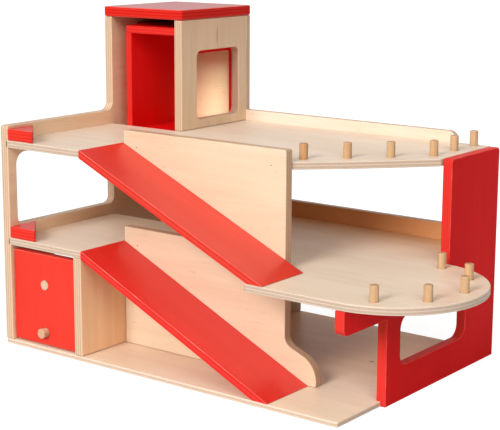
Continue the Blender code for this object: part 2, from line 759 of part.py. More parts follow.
def make_lift(garage):
    """The red lift car, open at the front and back, with a runner that fills the shaft's side."""
    middle = ((CAR_LEFT + CAR_RIGHT) / 2, (CAR_FRONT + CAR_BACK) / 2, CAR_FLOOR_UNDER)
    car = carrier("lift_slide", middle, garage)
    plan = [(CAR_LEFT, CAR_FRONT), (CAR_RIGHT, CAR_FRONT), (CAR_RIGHT, CAR_BACK),
            (CAR_LEFT, CAR_BACK)]
    board("lift_floor", [plan], CAR_T, CAR_FLOOR_UNDER, PLAN, red("lift_floor"), car)
    board("lift_roof", [plan], CAR_T, CAR_CEILING, PLAN, red("lift_roof"), car)
    board("lift_left_wall", [car_wall(CAR_FRONT)], CAR_T, CAR_LEFT, SIDE_VIEW,
          red("lift_left_wall"), car)
    right_front = CAR_FRONT + CAR_SIDE_SETBACK
    window = rounded_window(
        right_front + CAR_WINDOW_FRONT_MARGIN, CAR_FLOOR_TOP + CAR_WINDOW_SILL,
        CAR_BACK - CAR_WINDOW_BACK_MARGIN, CAR_CEILING - CAR_WINDOW_HEAD, CAR_WINDOW_CORNER,
    )
    board("lift_right_wall", [car_wall(right_front), window], CAR_T, CAR_RIGHT - CAR_T,
          SIDE_VIEW, red("lift_right_wall"), car)
    runner_front = CAR_FRONT + RUNNER_SETBACK
    runner_left = PANEL_T + LIFT_GAP
    runner = [
        (runner_front, CAR_FLOOR_UNDER), (runner_front + RUNNER_WIDTH, CAR_FLOOR_UNDER),
        (runner_front + RUNNER_WIDTH, CAR_CEILING + CAR_T), (runner_front, CAR_CEILING + CAR_T),
    ]
    board("lift_side_runner", [runner], CAR_LEFT - SEAT_GAP - runner_left, runner_left,
          SIDE_VIEW, red("lift_side_runner"), car)


def make_door(garage):
    """The garage door on its two pins, with a dowel knob below and a flush dowel above."""
    axis = (DOOR_MIDDLE, DOOR_AXIS_Y, DOOR_AXIS_Z)
    hinge = carrier("door_hinge", axis, garage)
    outline = [(DOOR_LEFT, DOOR_BOTTOM), (DOOR_RIGHT, DOOR_BOTTOM), (DOOR_RIGHT, DOOR_TOP),
               (DOOR_LEFT, DOOR_TOP)]
    door = board("garage_door", [outline], DOOR_T, DOOR_RECESS, FRONT_VIEW,
                 red("garage_door"), hinge)
    knob_z = DOOR_BOTTOM + KNOB_HEIGHT
    plug_z = DOOR_TOP - PLUG_DROP
    feet = [(DOOR_MIDDLE, DOOR_RECESS - OVERRUN, z) for z in (knob_z, plug_z)]
    through = DOOR_T + 2 * OVERRUN
    cut(door, rod_cutter("door_dowel_holes", DOOR_DOWEL_R, through, feet, "Y", ROUND_SIDES,
                         hinge))
    rod("door_knob", DOOR_DOWEL_R, KNOB_PROUD + DOOR_T, (DOOR_MIDDLE, FRONT_REACH, knob_z), "Y",
        ROUND_SIDES, dowel_birch("door_knob"), hinge, chamfer=DOWEL_CHAMFER)
    rod("door_dowel_plug", DOOR_DOWEL_R, DOOR_T, (DOOR_MIDDLE, DOOR_RECESS, plug_z), "Y",
        ROUND_SIDES, dowel_birch("door_dowel_plug"), hinge)
    pin_length = 2 * HINGE_PIN_REACH + DOOR_SIDE_GAP
    for side, start in (("left", PANEL_T), ("right", DOOR_RIGHT)):
        foot = (start - HINGE_PIN_REACH, DOOR_AXIS_Y, DOOR_AXIS_Z)
        name = "door_hinge_pin_" + side
        material = finish(name, NAIL_STEEL, STEEL_ROUGHNESS, 1.0)
        rod(name, HINGE_PIN_R, pin_length, foot, "X", PIN_SIDES, material, hinge)
        hole = Vector(foot) - Vector((SEAT_GAP, 0, 0))
        tool = rod_cutter(side + "_door_bore", HINGE_PIN_R, pin_length + 2 * SEAT_GAP, [hole],
                          "X", PIN_SIDES, hinge)
        cut(door, tool)


def build():
    """The whole garage, from the base up."""
    middle_x, middle_y = (LENGTH - ROOF_OVERHANG) / 2, (FRONT_REACH + REAR_REACH) / 2
    garage = carrier("garage_corner", (-middle_x, -middle_y, 0))
    make_base(garage)
    make_left_panel(garage)
    make_right_panel(garage)
    make_back_panel(garage)
    decks = (make_mid_deck(garage), make_upper_deck(garage))
    make_divider(garage)
    make_guard(garage, decks)
    make_ramp("upper_ramp", UPPER_TOP, UPPER_RAMP_TIP, MID_SEAT, garage)
    make_ramp("lower_ramp", MID_TOP, LOWER_RAMP_TIP, BASE_SEAT, garage)
    make_stop_block("upper_stop_block", UPPER_SEAT, garage)
    make_stop_block("mid_stop_block", MID_SEAT, garage)
    make_pegs("upper", upper_peg_places(), UPPER_TOP, garage)
    make_pegs("mid", mid_peg_places(), MID_TOP, garage)
    make_tower(garage)
    make_lift(garage)
    make_door(garage)


clear_scene()
PARTS = new_collection("toy_parking_garage")
CUTTERS = new_collection("cutters")
build()
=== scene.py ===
"""Looks of the toy parking garage: birch plywood, red paint, dowel pegs, on a pale studio floor."""
import math

import bpy
import numpy as np
from bpy.props import FloatProperty, FloatVectorProperty, PointerProperty
from mathutils import Matrix, Vector
from mathutils.geometry import tessellate_polygon


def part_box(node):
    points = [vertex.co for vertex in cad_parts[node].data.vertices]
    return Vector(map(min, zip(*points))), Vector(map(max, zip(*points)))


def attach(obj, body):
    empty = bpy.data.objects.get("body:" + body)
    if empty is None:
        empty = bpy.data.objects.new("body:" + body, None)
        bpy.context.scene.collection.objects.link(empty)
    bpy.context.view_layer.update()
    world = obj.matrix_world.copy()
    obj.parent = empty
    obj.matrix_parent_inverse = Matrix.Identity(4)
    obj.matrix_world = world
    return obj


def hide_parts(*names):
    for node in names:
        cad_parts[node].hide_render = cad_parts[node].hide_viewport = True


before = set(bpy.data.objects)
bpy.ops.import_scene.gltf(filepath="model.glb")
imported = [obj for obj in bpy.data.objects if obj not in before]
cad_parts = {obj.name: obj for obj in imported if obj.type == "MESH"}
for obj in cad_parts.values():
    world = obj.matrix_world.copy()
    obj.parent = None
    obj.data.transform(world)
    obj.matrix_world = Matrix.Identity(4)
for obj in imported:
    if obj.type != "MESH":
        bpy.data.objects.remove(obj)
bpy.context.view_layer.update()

bl_info = {
    "name": "Toy Parking Garage",
    "version": (1, 0, 0),
    "blender": (4, 5, 0),
    "location": "3D View > Sidebar > Garage",
    "description": "Builds the boards, pegs, lift car and door of a wooden toy parking garage",
    "category": "Object",
}

# The garage's corner in the row frame: outer face of the left panel, front edge of the base
CORNER = Vector((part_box("left_end_panel")[0].x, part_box("base_board")[0].y, 0.0))

# Boards
PANEL_T = 0.012
DECK_T = 0.009
BASE_T = 0.006
BACK_T = 0.009
RAMP_T = 0.009
CAR_T = 0.009
DOOR_T = 0.012
ROOF_T = 0.013
BLOCK_T = 0.014
GAP = 0.0003
SLIDE_GAP = 0.0006

# Plan and levels
SPAN = 0.508
DEPTH = 0.333
BASE_CORNER = 0.003
BAY_RIGHT = 0.1315
SHAFT_FRONT = 0.1895
MID_TOP = 0.137
UPPER_TOP = 0.259
ROOF_UNDER = 0.400
WALL_TOP = ROOF_UNDER - GAP
WALL_LEFT = BAY_RIGHT - PANEL_T
RED_LEFT = SPAN - PANEL_T
BACK_FACE = DEPTH - BACK_T
MID_UNDER = MID_TOP - DECK_T
UPPER_UNDER = UPPER_TOP - DECK_T
BASE_SEAT = BASE_T + GAP
DECK_LEFT = 0.0083
DECK_RIGHT = RED_LEFT - GAP
DECK_BACK = BACK_FACE - GAP

# Left end panel
LEFT_RAIL_TOP = 0.277
LEFT_RAIL_FILLET = 0.012
LEFT_RAIL_CORNER = 0.004
LEFT_POST = 0.0145
LEFT_WINDOW_HEIGHT = 0.090
LEFT_WINDOW_CORNER = 0.015
LEFT_SILL_CORNER = 0.009
LEFT_SILLS = (0.012, 0.152)

# Right end panel
RED_POST_FRONT = 0.218
RED_FOOT_FRONT = 0.085
RED_ARM_LOW = 0.100
RED_ARM_CORNER = 0.009
RED_TOP_CORNER = 0.005
RED_WINDOW = (0.1145, 0.040, 0.261, 0.0965)
RED_WINDOW_CORNER = 0.014
RABBET = 0.006

# Guard board
GUARD_FRONT = 0.0785
GUARD_BACK = GUARD_FRONT + PANEL_T
NOTCH_BACK = GUARD_BACK + GAP
GUARD_END = 0.376
GUARD_TOP = 0.274
GUARD_CORNER = 0.003
MOUTH_SILL = 0.1545
MOUTH_COVER = 0.010
MOUTH_FILLET = 0.004
FOOT_REACH = 0.044
FOOT_ROUND = 0.030
FOOT_FILLET = 0.014
TOE_CORNER = 0.010
FOOT_LIFT = 0.006
FOOT_SLOPE = math.radians(22)
NAIL_R = 0.0009
NAIL_LENGTH = 0.030
NAIL_END = 0.021
NAIL_PROUD = 0.00003

# Ramps and stop blocks
RAMP_START = BAY_RIGHT + GAP
RAMP_WIDTH = GUARD_FRONT - GAP
RAMP_ARRIS = 0.0010
RAMP_CORNER = 0.0004
TIP_CORNER = 0.0002
BLOCK_LEG = 0.044
UPPER_TIP = 0.402
LOWER_TIP = 0.410

# Decks
TONGUE_CORNER = 0.005
TONGUE_SLANT = 0.0013
ROUND_MEET = 0.00035
END_RADIUS = (RED_POST_FRONT - GAP) / 2
EDGE_END = 0.2145
EDGE_LINE = (Vector((GUARD_END, NOTCH_BACK)), Vector((DECK_RIGHT, EDGE_END)))
EDGE_BOW = 0.003
TAB_LEFT = 0.4528

# Back panel
BACK_RAIL_TOP = 0.2735
BACK_RAIL_END = 0.4525
BACK_RAIL_CORNER = 0.011
BACK_POST = 0.020
BACK_MID_LEFT = 0.150
BACK_MID_SILL = 0.158
BACK_BASE_LEFT = 0.220
BACK_HEAD = 0.012
BACK_WINDOW_CORNER = 0.012

# Tower and lift car
TOWER_WINDOW = (0.2205, 0.271, 0.3075, 0.3595)
TOWER_WINDOW_CORNER = 0.0085
ROOF_REACH = 0.001
ROOF_CORNER = 0.0045
CAR_LEFT = 0.037
CAR_RIGHT = WALL_LEFT - SLIDE_GAP
CAR_FRONT = SHAFT_FRONT + SLIDE_GAP
CAR_BACK = BACK_FACE - SLIDE_GAP
CAR_FLOOR_TOP = 0.2547
CAR_CEILING = 0.3803
CAR_SETBACK = 0.014
CAR_WINDOW = (0.2261, 0.2587, 0.3139, 0.3543)
CAR_WINDOW_CORNER = 0.007
CAR_ARRIS = 0.0004
CAR_SEAM = 0.00003
RUNNER_SETBACK = 0.050
RUNNER_WIDTH = 0.030

# Garage door and dowels
DOOR_SIDE_GAP = 0.0015
DOOR_LEFT = PANEL_T + DOOR_SIDE_GAP
DOOR_RIGHT = WALL_LEFT - DOOR_SIDE_GAP
DOOR_FRONT = 0.004
DOOR_BOTTOM = 0.0082
DOOR_TOP = 0.1224
DOOR_MIDDLE = (DOOR_LEFT + DOOR_RIGHT) / 2
DOWEL_R = 0.006
DOWEL_RIM = 0.0002
DOWEL_END_TURN = 0.5
KNOB_RIM = 0.0009
PLUG_RIM = 0.0003
KNOB_PROUD = 0.008
KNOB_Z = 0.0237
PLUG_Z = 0.0839
PIN_R = 0.002
PIN_REACH = 0.007
PIN_Y = 0.010
PIN_Z = 0.1154
PEG_R = 0.005
PEG_HEIGHT = 0.018
PEG_FOOT = 0.006

# Peg places
UPPER_EDGE_PEGS = 3
UPPER_EDGE_INSET = 0.0195
UPPER_EDGE_START = 0.0941
UPPER_EDGE_PITCH = 0.2952
UPPER_SIDE_PEGS = 3
UPPER_SIDE_INSET = 0.0185
UPPER_SIDE_START = 0.0105
UPPER_BACK_INSET = 0.009
MID_PEGS = 5
MID_PEG_INSET = 0.0205
MID_PEG_FIRST = math.radians(-69)
MID_PEG_STEP = math.radians(37.3)

# Direction of the bright backdrop, behind the garage as the camera sees it, and the two values
# of the cosine towards it between which it fades in
BACKDROP = (-0.56, 0.74, 0.37)
BACKDROP_SPAN = (0.25, 0.85)

# Suns: name, the setting of their strength, degrees from the front towards the left, elevation
LIGHTS = (("key_light", "key", 0, 29), ("side_light", "side", -52, 32),
          ("right_light", "fill", -90, 50), ("left_light", "fill", 60, 30),
          ("top_light", "fill", 0, 75))
LIGHT_SPREAD = math.radians(26)

# Camera: yaw, pitch and roll, place from the garage's corner, shift of the picture
CAMERA_TURN = (0.65297, 0.19742, 0.00356)
CAMERA_PLACE = (1.2854, -1.1856, 0.5275)
CAMERA_SHIFT = (0.00984, -0.02786)
SENSOR_WIDTH = 36

# Floor: half its side, cells along it, depth under the base, and (lightness, own light) as it is
# seen and as it lights the garage
FLOOR_REACH = 24.0
FLOOR_CELLS = 8
FLOOR_DROP = 0.0004
FLOOR_SEEN = (0.22, 0.88)
FLOOR_BOUNCED = (0.60, 0.10)
FLOOR_ROUGHNESS = 0.9
FLOOR_GLOSS = 0.1
WHITE = (1.0, 1.0, 1.0, 1.0)

# Plies: how far a ply wanders, and the glue line's share of a ply on either side
PLY_WANDER = 0.0005
GLUE_SHARE = 0.14

# Mesh fineness: how far an arc's chords stray and turn, the least steps of a corner, the steps of
# an arris, the sides of a dowel, and the distance and doubled area that count as none
CHORD_ERROR = 0.00002
LARGEST_TURN = math.radians(15)
CORNER_STEPS = 3
ARRIS_STEPS = 4
DOWEL_SIDES = 48
NO_DISTANCE = 1e-7
NO_AREA = 1e-14

# An arris takes in at most this share of a corner's radius, and the finish of an edge fades out
# over it this fast
INSET_SHARE = 0.9
EDGE_FADE = 2.2

# Boards lie in these planes: drawing axes and the axis of their thickness. The last is for
# turned pieces along the second axis
PLAN = (0, 1, 2)
FRONT = (0, 2, 1)
SIDE = (1, 2, 0)
ROUND_Y = (2, 0, 1)

# Noise: scale across the grain and along it, detail, roughness, distortion
CLOUDS = (11, 3.2, 2, 0.55, 0.0)
FIGURE = (62, 4.2, 4, 0.6, 0.5)
FIBRES = (900, 26, 3, 0.65, 0.0)
FLECKS = (420, 60, 1, 0.55, 0.0)
PLY_WAVES = (22, 22, 2, 0.55, 0.0)
PLY_PORES = (1300, 1300, 2, 0.55, 0.0)
ARRIS_RUB_AND_HIGHLIGHT_NOISE = (70, 70, 4, 0.55, 0.0)
DOWEL_FIBRES = (1500, 45, 3, 0.55, 0.0)
DOWEL_BANDS = (260, 9, 2, 0.55, 0.0)
DOWEL_PORES = (2200, 2200, 2, 0.55, 0.0)
DRAWN_LINES = (2600, 300, 2, 0.55, 0.0)
MOTTLE = (3, 3, 2, 0.55, 0.0)

# Spans: the two values of a noise between which a share or a roughness runs, and its two ends
# where they aren't none and all
VENEER_TONE = (0.38, 0.62)
VENEER_STREAKS = (0.62, 0.34, 0.0, 0.13)
VENEER_FLECKS = (0.70, 0.78, 0.0, 0.26)
VENEER_ROUGHNESS = (0.2, 0.8, 0.44, 0.32)
LONG_PLY_TONE = (0.3, 0.7)
END_PLY_TONE = (0.35, 0.65)
PAINT_TONE = (0.32, 0.68)
PAINT_FIGURE = (0.64, 0.42, 0.0, 0.38)
PAINT_FIBRES = (0.60, 0.36, 0.0, 0.30)
ARRIS_RUB_AND_HIGHLIGHT_SPAN = (0.42, 0.66, 0.35, 0.85)
PAINT_ROUGHNESS = (0.3, 0.7, 0.38, 0.30)
DOWEL_TONE = (0.36, 0.64)
DOWEL_END_TONE = (0.4, 0.62)
DOWEL_ROUGHNESS = (0.3, 0.7, 0.58, 0.44)
STEEL_TONE = (0.35, 0.65)
STEEL_ROUGHNESS = (0.3, 0.7, 0.5, 0.34)
FLOOR_TONE = (0.3, 0.7, 0.99, 1.0)
KNOT_FADE = (0.25, 1.0)

# The lightest that a tinted colour gets
LIGHTEST = 0.98

# Tints of the veneer, of plies that run along an edge or are cut across (dark, light), of glue
PLAIN = (1.0, 1.0, 1.0)
STREAK_TINT = (0.74, 0.68, 0.62)
FLECK_TINT = (0.66, 0.52, 0.42)
LONG_PLY_TINTS = ((0.74, 0.71, 0.73), (0.84, 0.81, 0.84))
END_PLY_TINTS = ((0.64, 0.58, 0.56), (0.79, 0.74, 0.74))
GLUE_TINT = (0.42, 0.32, 0.26)
GLUE_STRENGTH = 0.6
KNOT_COLOUR = (0.16, 0.095, 0.05)

# Tints of the paint where it is deep, on deep edges, over glue and where it is thin over a ply,
# how strongly plies and glue show, and the lighter colours of the arrises, partly wear and partly
# a painted highlight, strongest on the ramps
DEEP_TINT = (0.84, 0.55, 0.55)
DEEP_EDGE_TINT = (0.92, 0.75, 0.75)
PAINT_GLUE_TINT = (0.46, 0.22, 0.22)
THIN_TINT = (1.15, 1.6, 1.6)
THIN_LIFT = (0.0, 0.05, 0.035)
PLY_STRENGTH = 0.32
PAINT_GLUE_STRENGTH = 0.42
RUBBED_AND_HIGHLIT_ARRIS = (0.86, 0.14, 0.10)
RAMP_RUBBED_AND_HIGHLIT_ARRIS = (0.96, 0.42, 0.32)
PAINT_SHIFT = (0.3, 0.1, 0.2)
COAT_ROUGHNESS = 0.3

# Relief: height of the pattern in metres, and the ridge of a ply against the fibres
VENEER_RELIEF, VENEER_RIDGE = 0.00006, 0.7
PAINT_RELIEF, PAINT_RIDGE = 0.00002, 2.4
DOWEL_RELIEF = 0.00008
STEEL_RELIEF = 0.00003

# Veneered boards: grain axis, plies, tints of faces and edges, shift of the grain, gloss, slot. The
# tints are partly each board's own tone and partly painted light and shade fitted to how each
# board is lit, such as the divider's warmer tint for painted bounced light
WOODS = {
    "base_board": (0, 3, (1.07, 1.12, 1.24), PLAIN, (0, 0, 0), 0.3, "pale_birch_ply"),
    "left_end_panel": (1, 7, (1.08, 1.00, 0.95), (0.92, 0.94, 0.95), (0, 0, 0), 0.5,
                       "birch_ply"),
    "back_panel": (0, 5, (1.06, 1.08, 1.24), (0.94, 0.86, 0.74), (0.5, 0.2, 0.4), 0.5,
                   "birch_ply"),
    "mid_deck": (0, 5, (0.99, 1.04, 1.17), (0.92, 0.92, 0.91), (0.2, 0.7, 0.1), 0.5,
                 "pale_birch_ply"),
    "upper_deck": (0, 5, (0.96, 1.0, 1.14), (0.95, 0.95, 0.92), (0.9, 0.3, 0.6), 0.5,
                   "birch_ply"),
    "garage_divider": (2, 7, (1.12, 0.98, 0.82), (0.87, 0.96, 1.10), (0.3, 0.8, 0.3), 0.5,
                       "birch_ply"),
    "guard_board": (0, 7, (0.94, 0.93, 0.95), (0.97, 0.89, 0.80), (0.1, 0.5, 0.9), 0.5,
                    "pale_birch_ply"),
    "tower_side_panel": (2, 7, (0.96, 0.90, 0.87), PLAIN, (0.6, 0.1, 0.2), 0.5, "birch_ply"),
}

# Knots and streaks: centre, spread along each axis, strength
MARKS = {
    "base_board": [((0.417, 0.201, BASE_T), (0.0045, 0.0035, 0.02), 0.75)],
    "tower_side_panel": [((BAY_RIGHT, 0.262, 0.377), (0.02, 0.0016, 0.017), 0.6)],
}

# Painted shade and light: slow tints that darken and warm the veneer between the decks, towards
# the back and under the roof, and lighten it below the middle deck and in the shaft, standing in
# for shade and bounced light. Each is spans of (axis, start, end), and the tint past all their
# ends.
# INSIDE keeps this painted shading to the back panel's inner face
INSIDE = (1, BACK_FACE + 0.003, BACK_FACE + 0.001)
PAINTED_SHADE_AND_LIGHT = {
    "base_board": [([(1, 0.09, 0.26)], (0.97, 0.70, 0.56))],
    "mid_deck": [([(1, 0.19, DEPTH)], (0.97, 0.70, 0.46))],
    "tower_side_panel": [([(2, 0.33, ROOF_UNDER)], (0.90, 0.83, 0.82))],
    "back_panel": [
        ([INSIDE, (2, UPPER_TOP, UPPER_UNDER - 0.02), (2, MID_UNDER, MID_TOP)],
         (0.97, 0.58, 0.30)),
        ([INSIDE, (2, MID_TOP, MID_UNDER)], (1.12, 1.40, 1.55)),
        ([INSIDE, (0, BAY_RIGHT + 0.003, BAY_RIGHT - 0.003), (2, UPPER_UNDER, UPPER_TOP)],
         (1.12, 1.30, 0.98)),
    ],
}

# Painted boards: grain axis, plies, tints of the red on faces and edges, gloss of faces and of
# edges if it differs, strength of the ply lines, lacquer on the faces. The tints are partly the
# paint's colour and partly painted light and shade fitted per board: the right panel's deep red
# is painted shade on its shaded right face, and the paler door and upper ramp carry a painted
# sheen
BLOCK = (0, 7, (0.95, 0.7, 0.7), (0.92, 0.5, 0.4), 0.4, 0.15, 1.0, 0.0)
LIFT = (5, (1.1224, 0.216, 0.42), (0.8556, 0.468, 0.63), 0.04, 0.08, 1.0, 0.0)
PAINTS = {
    "right_end_panel": (2, 7, (0.92, 0.216, 0.378), (0.90, 1.05, 1.6), 0.03, None, 0.4, 0.0),
    "upper_ramp": (0, 3, (1.04, 1.4, 1.3), (0.8944, 0.84, 0.78), 0.5, 0.2, 2.1, 0.0),
    "lower_ramp": (0, 3, (1.12, 0.8, 1.0), (0.9632, 0.48, 0.6), 0.5, 0.2, 2.1, 0.0),
    "upper_stop_block": BLOCK,
    "mid_stop_block": BLOCK,
    "tower_roof": (0, 7, (0.7912, 0.468, 0.546), (0.7912, 0.324, 0.378), 0.3, 0.03, 1.0, 0.8),
    "lift_floor": (0, *LIFT),
    "lift_roof": (0, *LIFT),
    "lift_left_wall": (2, *LIFT),
    "lift_right_wall": (2, *LIFT),
    "lift_side_runner": (2, *LIFT),
    "garage_door": (2, 7, (1.02, 1.4, 1.4), (1.02, 1.4, 1.4), 0.2, None, 1.0, 0.0),
}

# Dowels: tints of light and dark fibres and of the ends of a peg, pegs of a darker wood than the
# rest, and the colours of the door's dowels, their ends last
PEG_FINISH = ((1.14, 1.14, 1.14), (0.86, 0.80, 0.74), (0.92, 0.86, 0.80))
PEG_TINTS = {"upper_peg_1": (0.95, 0.80, 0.66), "upper_peg_2": (1.0, 0.94, 0.88),
             "upper_peg_4": (1.0, 0.95, 0.90), "mid_peg_4": (1.0, 0.95, 0.88)}
DOOR_DOWEL = ((0.60, 0.39, 0.23), (0.49, 0.29, 0.15))
KNOB_END = (0.56, 0.35, 0.21)
PLUG_END = (0.64, 0.44, 0.29)
END_PORE = 0.78
NAIL_STEEL = (0.16, 0.13, 0.11)
PIN_STEEL = (0.34, 0.30, 0.26)
STEEL_DARK = 0.7
DOWEL_GLOSS = 0.4
STEEL_GLOSS = 0.5


def ring(corners, hole=False):
    """Points, outward normals and corner radii of a closed outline with tangent arcs at corners.

    A corner is (u, v, radius). Its arc touches both sides at radius * tan(half the turn) from the
    corner, and a point of it is the arc's centre plus the radius at an angle that runs evenly
    through the turn. Outlines run against the clock, holes with it.
    """
    corners = np.array(corners, float)
    area = np.sum(corners[:, 0] * np.roll(corners[:, 1], -1)
                  - np.roll(corners[:, 0], -1) * corners[:, 1])
    if (area > 0) == hole:
        corners = corners[::-1]
    tip, radius = corners[:, :2], corners[:, 2]
    ahead = np.roll(tip, -1, axis=0) - tip
    ahead /= np.linalg.norm(ahead, axis=1)[:, None]
    came = np.roll(ahead, 1, axis=0)
    turn = np.arctan2(came[:, 0] * ahead[:, 1] - came[:, 1] * ahead[:, 0],
                      np.sum(came * ahead, axis=1))
    side = np.sign(turn)
    left = np.stack([-came[:, 1], came[:, 0]], axis=1)
    reach = radius * np.tan(np.abs(turn) / 2)
    centre = tip - came * reach[:, None] + left * (radius * side)[:, None]
    start = np.arctan2(*(-left * side[:, None]).T[::-1])
    step = np.minimum(LARGEST_TURN, np.sqrt(8 * CHORD_ERROR / radius))
    count = np.maximum(CORNER_STEPS, np.ceil(np.abs(turn) / step)).astype(int)
    index = np.repeat(np.arange(len(tip)), count + 1)
    first = np.repeat(np.cumsum(count + 1) - (count + 1), count + 1)
    share = (np.arange(len(index)) - first) / count[index]
    angle = start[index] + turn[index] * share
    spoke = np.stack([np.cos(angle), np.sin(angle)], axis=1)
    points = centre[index] + spoke * radius[index][:, None]
    normals = spoke * side[index][:, None]
    apart = np.linalg.norm(points - np.roll(points, 1, axis=0), axis=1) > NO_DISTANCE
    return points[apart], normals[apart], radius[index][apart]


def rectangle(left, low, right, high, *corner):
    """Corners of a rectangle, with a radius if one is given."""
    return [(left, low, *corner), (right, low, *corner), (right, high, *corner),
            (left, high, *corner)]


def window(*sides):
    """A rounded rectangle cut out of a board."""
    return ring(rectangle(*sides), hole=True)


def spokes(turn):
    """Unit directions all round, against the clock for a turn of 1 and with it for -1."""
    angle = turn * np.linspace(0, 2 * np.pi, DOWEL_SIDES, endpoint=False)
    return np.stack([np.cos(angle), np.sin(angle)], axis=1)


def circle(u, v, radius):
    """A round hole, drawn with the clock, its normals towards its axis."""
    spoke = spokes(-1)
    return np.array((u, v)) + spoke * radius, -spoke, np.full(DOWEL_SIDES, radius)


def both_ends(low, high, length):
    """Rows of a low end and, turned upside down at the far end, of a high end."""
    return np.concatenate([low, high[::-1] * (1, -1, 1, -1, 1) + (0, length, 0, 0, 0)])


def arris_rows(thickness, arris):
    """Rows of a board's wall from its low face to its high one: see band.

    Each arris is a quarter round: the inset is arris * (1 - cos a) and the height
    arris * (1 - sin a) as a runs from a right angle to zero. The finish is that of the face where
    the row faces up or down, and that of the edge where it doesn't.
    """
    a = np.linspace(np.pi / 2, 0, ARRIS_STEPS + 1)
    lean, rise = np.cos(a), np.sin(a)
    share = np.clip((1 - rise) * EDGE_FADE, 0, 1)
    low = np.stack([arris * (lean - 1), arris * (1 - rise), lean, -rise, share], axis=1)
    return both_ends(low, low, thickness)


def socket_rows(thickness, depth, arris):
    """Rows of a blind hole from its bottom to its bevelled rim in a board's high face."""
    bevel = np.pi / 8
    return np.array([(0, thickness - depth, 1, 0, 1),
                     (0, thickness - arris / 2, np.cos(bevel), np.sin(bevel), 1),
                     (-arris / 2, thickness, 0, 1, 0)])


def dowel_rows(radius, length, rim, low_rim=DOWEL_RIM):
    """Rows of a dowel whose ends are eased by quarter rounds of their own radius."""
    a = np.linspace(0, np.pi / 2, ARRIS_STEPS + 2)
    lean, rise, end = np.sin(a), np.cos(a), np.where(a > DOWEL_END_TURN, 0.0, 1.0)
    low, high = (np.stack([radius - ease * (1 - lean), ease * (1 - rise), lean, -rise, end],
                          axis=1) for ease in (low_rim, rim))
    return both_ends(low, high, length)


def band(points, push, outward, rows, start=0):
    """Positions, normals, edge shares and quads of a closed band of rings of points.

    A row is (offset, height, lean, rise, share). Its ring is the points plus the push times the
    offset, at that height, with normals of the outward directions times lean, and rise up.
    """
    offset, height, lean, rise, share = rows.T
    count = len(points)
    flat = points + push * offset[:, None, None]
    level = np.broadcast_to(height[:, None, None], (*flat.shape[:2], 1))
    sideways = outward * lean[:, None, None]
    upward = np.broadcast_to(rise[:, None, None], level.shape)
    row, column = np.meshgrid(np.arange(len(rows) - 1), np.arange(count), indexing="ij")
    here, beside = start + row * count, (column + 1) % count
    quads = np.stack([here + column, here + beside, here + count + beside,
                      here + count + column], axis=-1)
    return (np.concatenate([flat, level], axis=2).reshape(-1, 3),
            np.concatenate([sideways, upward], axis=2).reshape(-1, 3),
            np.repeat(share, count), quads.reshape(-1, 4))


def fill(positions, loops, facing):
    """Triangles between closed loops of points on one flat face, all turned the same way."""
    drawing = [[Vector(p) for p in positions[loop]] for loop in loops]
    order = np.concatenate(loops)
    triangles = order[np.array(tessellate_polygon(drawing), int)]
    a, b, c = (positions[triangles[:, k], :2] for k in range(3))
    doubled = (b - a)[:, 0] * (c - a)[:, 1] - (b - a)[:, 1] * (c - a)[:, 0]
    real = np.abs(doubled) > NO_AREA
    triangles, doubled = triangles[real], doubled[real]
    wrong = np.sign(doubled) != facing
    triangles[wrong] = triangles[wrong][:, ::-1]
    return triangles.tolist()


def board(name, rings, thickness, low, plane, arris, sockets=(), body="garage"):
    """A board: outline and windows swept through its thickness with quarter-round arrises.

    The wall is a band round each ring: its point minus its normal times the inset, at the
    profile's height. The inset is no more than a share of the corner's own radius. Both faces are
    filled between the rings. A socket is (u, v), the middle of a peg's blind hole in the high
    face.
    """
    wall = arris_rows(thickness, arris)
    blind = socket_rows(thickness, PEG_FOOT + GAP, arris)
    rims = [(*part, wall) for part in rings]
    rims += [(*circle(*place, PEG_R + GAP), blind) for place in sockets]
    bands, low_loops, high_loops, floors = [], [], [], []
    start = 0
    for points, outward, radii, rows in rims:
        push = outward * np.minimum(1, INSET_SHARE * radii / arris)[:, None]
        bands.append(band(points, push, outward, rows, start))
        loop = start + np.arange(len(points))
        if rows is wall:
            low_loops.append(loop)
        else:
            floors.append(loop[::-1].tolist())
        start += len(rows) * len(points)
        high_loops.append(start - len(points) + np.arange(len(points)))
    positions, normals, shares, quads = (np.concatenate(part) for part in zip(*bands))
    faces = (quads.tolist() + fill(positions, low_loops, -1) + fill(positions, high_loops, 1)
             + floors)
    positions[:, 2] += low
    return put(name, positions, normals, shares, faces, plane, (0, 0, 0), body)


def lathe(name, rows, foot, order, body="garage"):
    """A turned piece: rows of radius and height carried round an axis through the foot.

    A point is the foot plus the height along the axis plus the radius round it. The first and
    the last row are closed by one flat face each.
    """
    spoke = spokes(1)
    positions, normals, shares, quads = band(np.zeros_like(spoke), spoke, spoke, rows)
    low = np.arange(DOWEL_SIDES)
    faces = quads.tolist() + [low[::-1].tolist(),
                              (low + len(positions) - DOWEL_SIDES).tolist()]
    return put(name, positions, normals, shares, faces, order, foot, body)


def put(name, positions, normals, shares, faces, order, foot, body):
    """Lay a drawn piece in the garage with its own normals, and let it ride on its body.

    Each column of the drawing becomes the garage's axis that the order gives for it. The front
    plane's drawing is a mirror image, so its faces are turned round.
    """
    placed, turned = np.empty_like(positions), np.empty_like(normals)
    placed[:, order], turned[:, order] = positions, normals
    if order == FRONT:
        faces = [face[::-1] for face in faces]
    mesh = bpy.data.meshes.new(name)
    mesh.from_pydata((placed + np.array(foot) + np.array(CORNER)).tolist(), [], faces)
    mesh.update()
    layer = mesh.attributes.new("edge", "FLOAT", "POINT")
    layer.data.foreach_set("value", shares.astype(np.float32))
    mesh.polygons.foreach_set("use_smooth", np.ones(len(mesh.polygons), bool))
    length = np.linalg.norm(turned, axis=1)[:, None]
    mesh.normals_split_custom_set_from_vertices((turned / length).tolist())
    piece = bpy.data.objects.new(name + "_piece", mesh)
    bpy.context.scene.collection.objects.link(piece)
    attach(piece, body)
    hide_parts(name)
    return piece


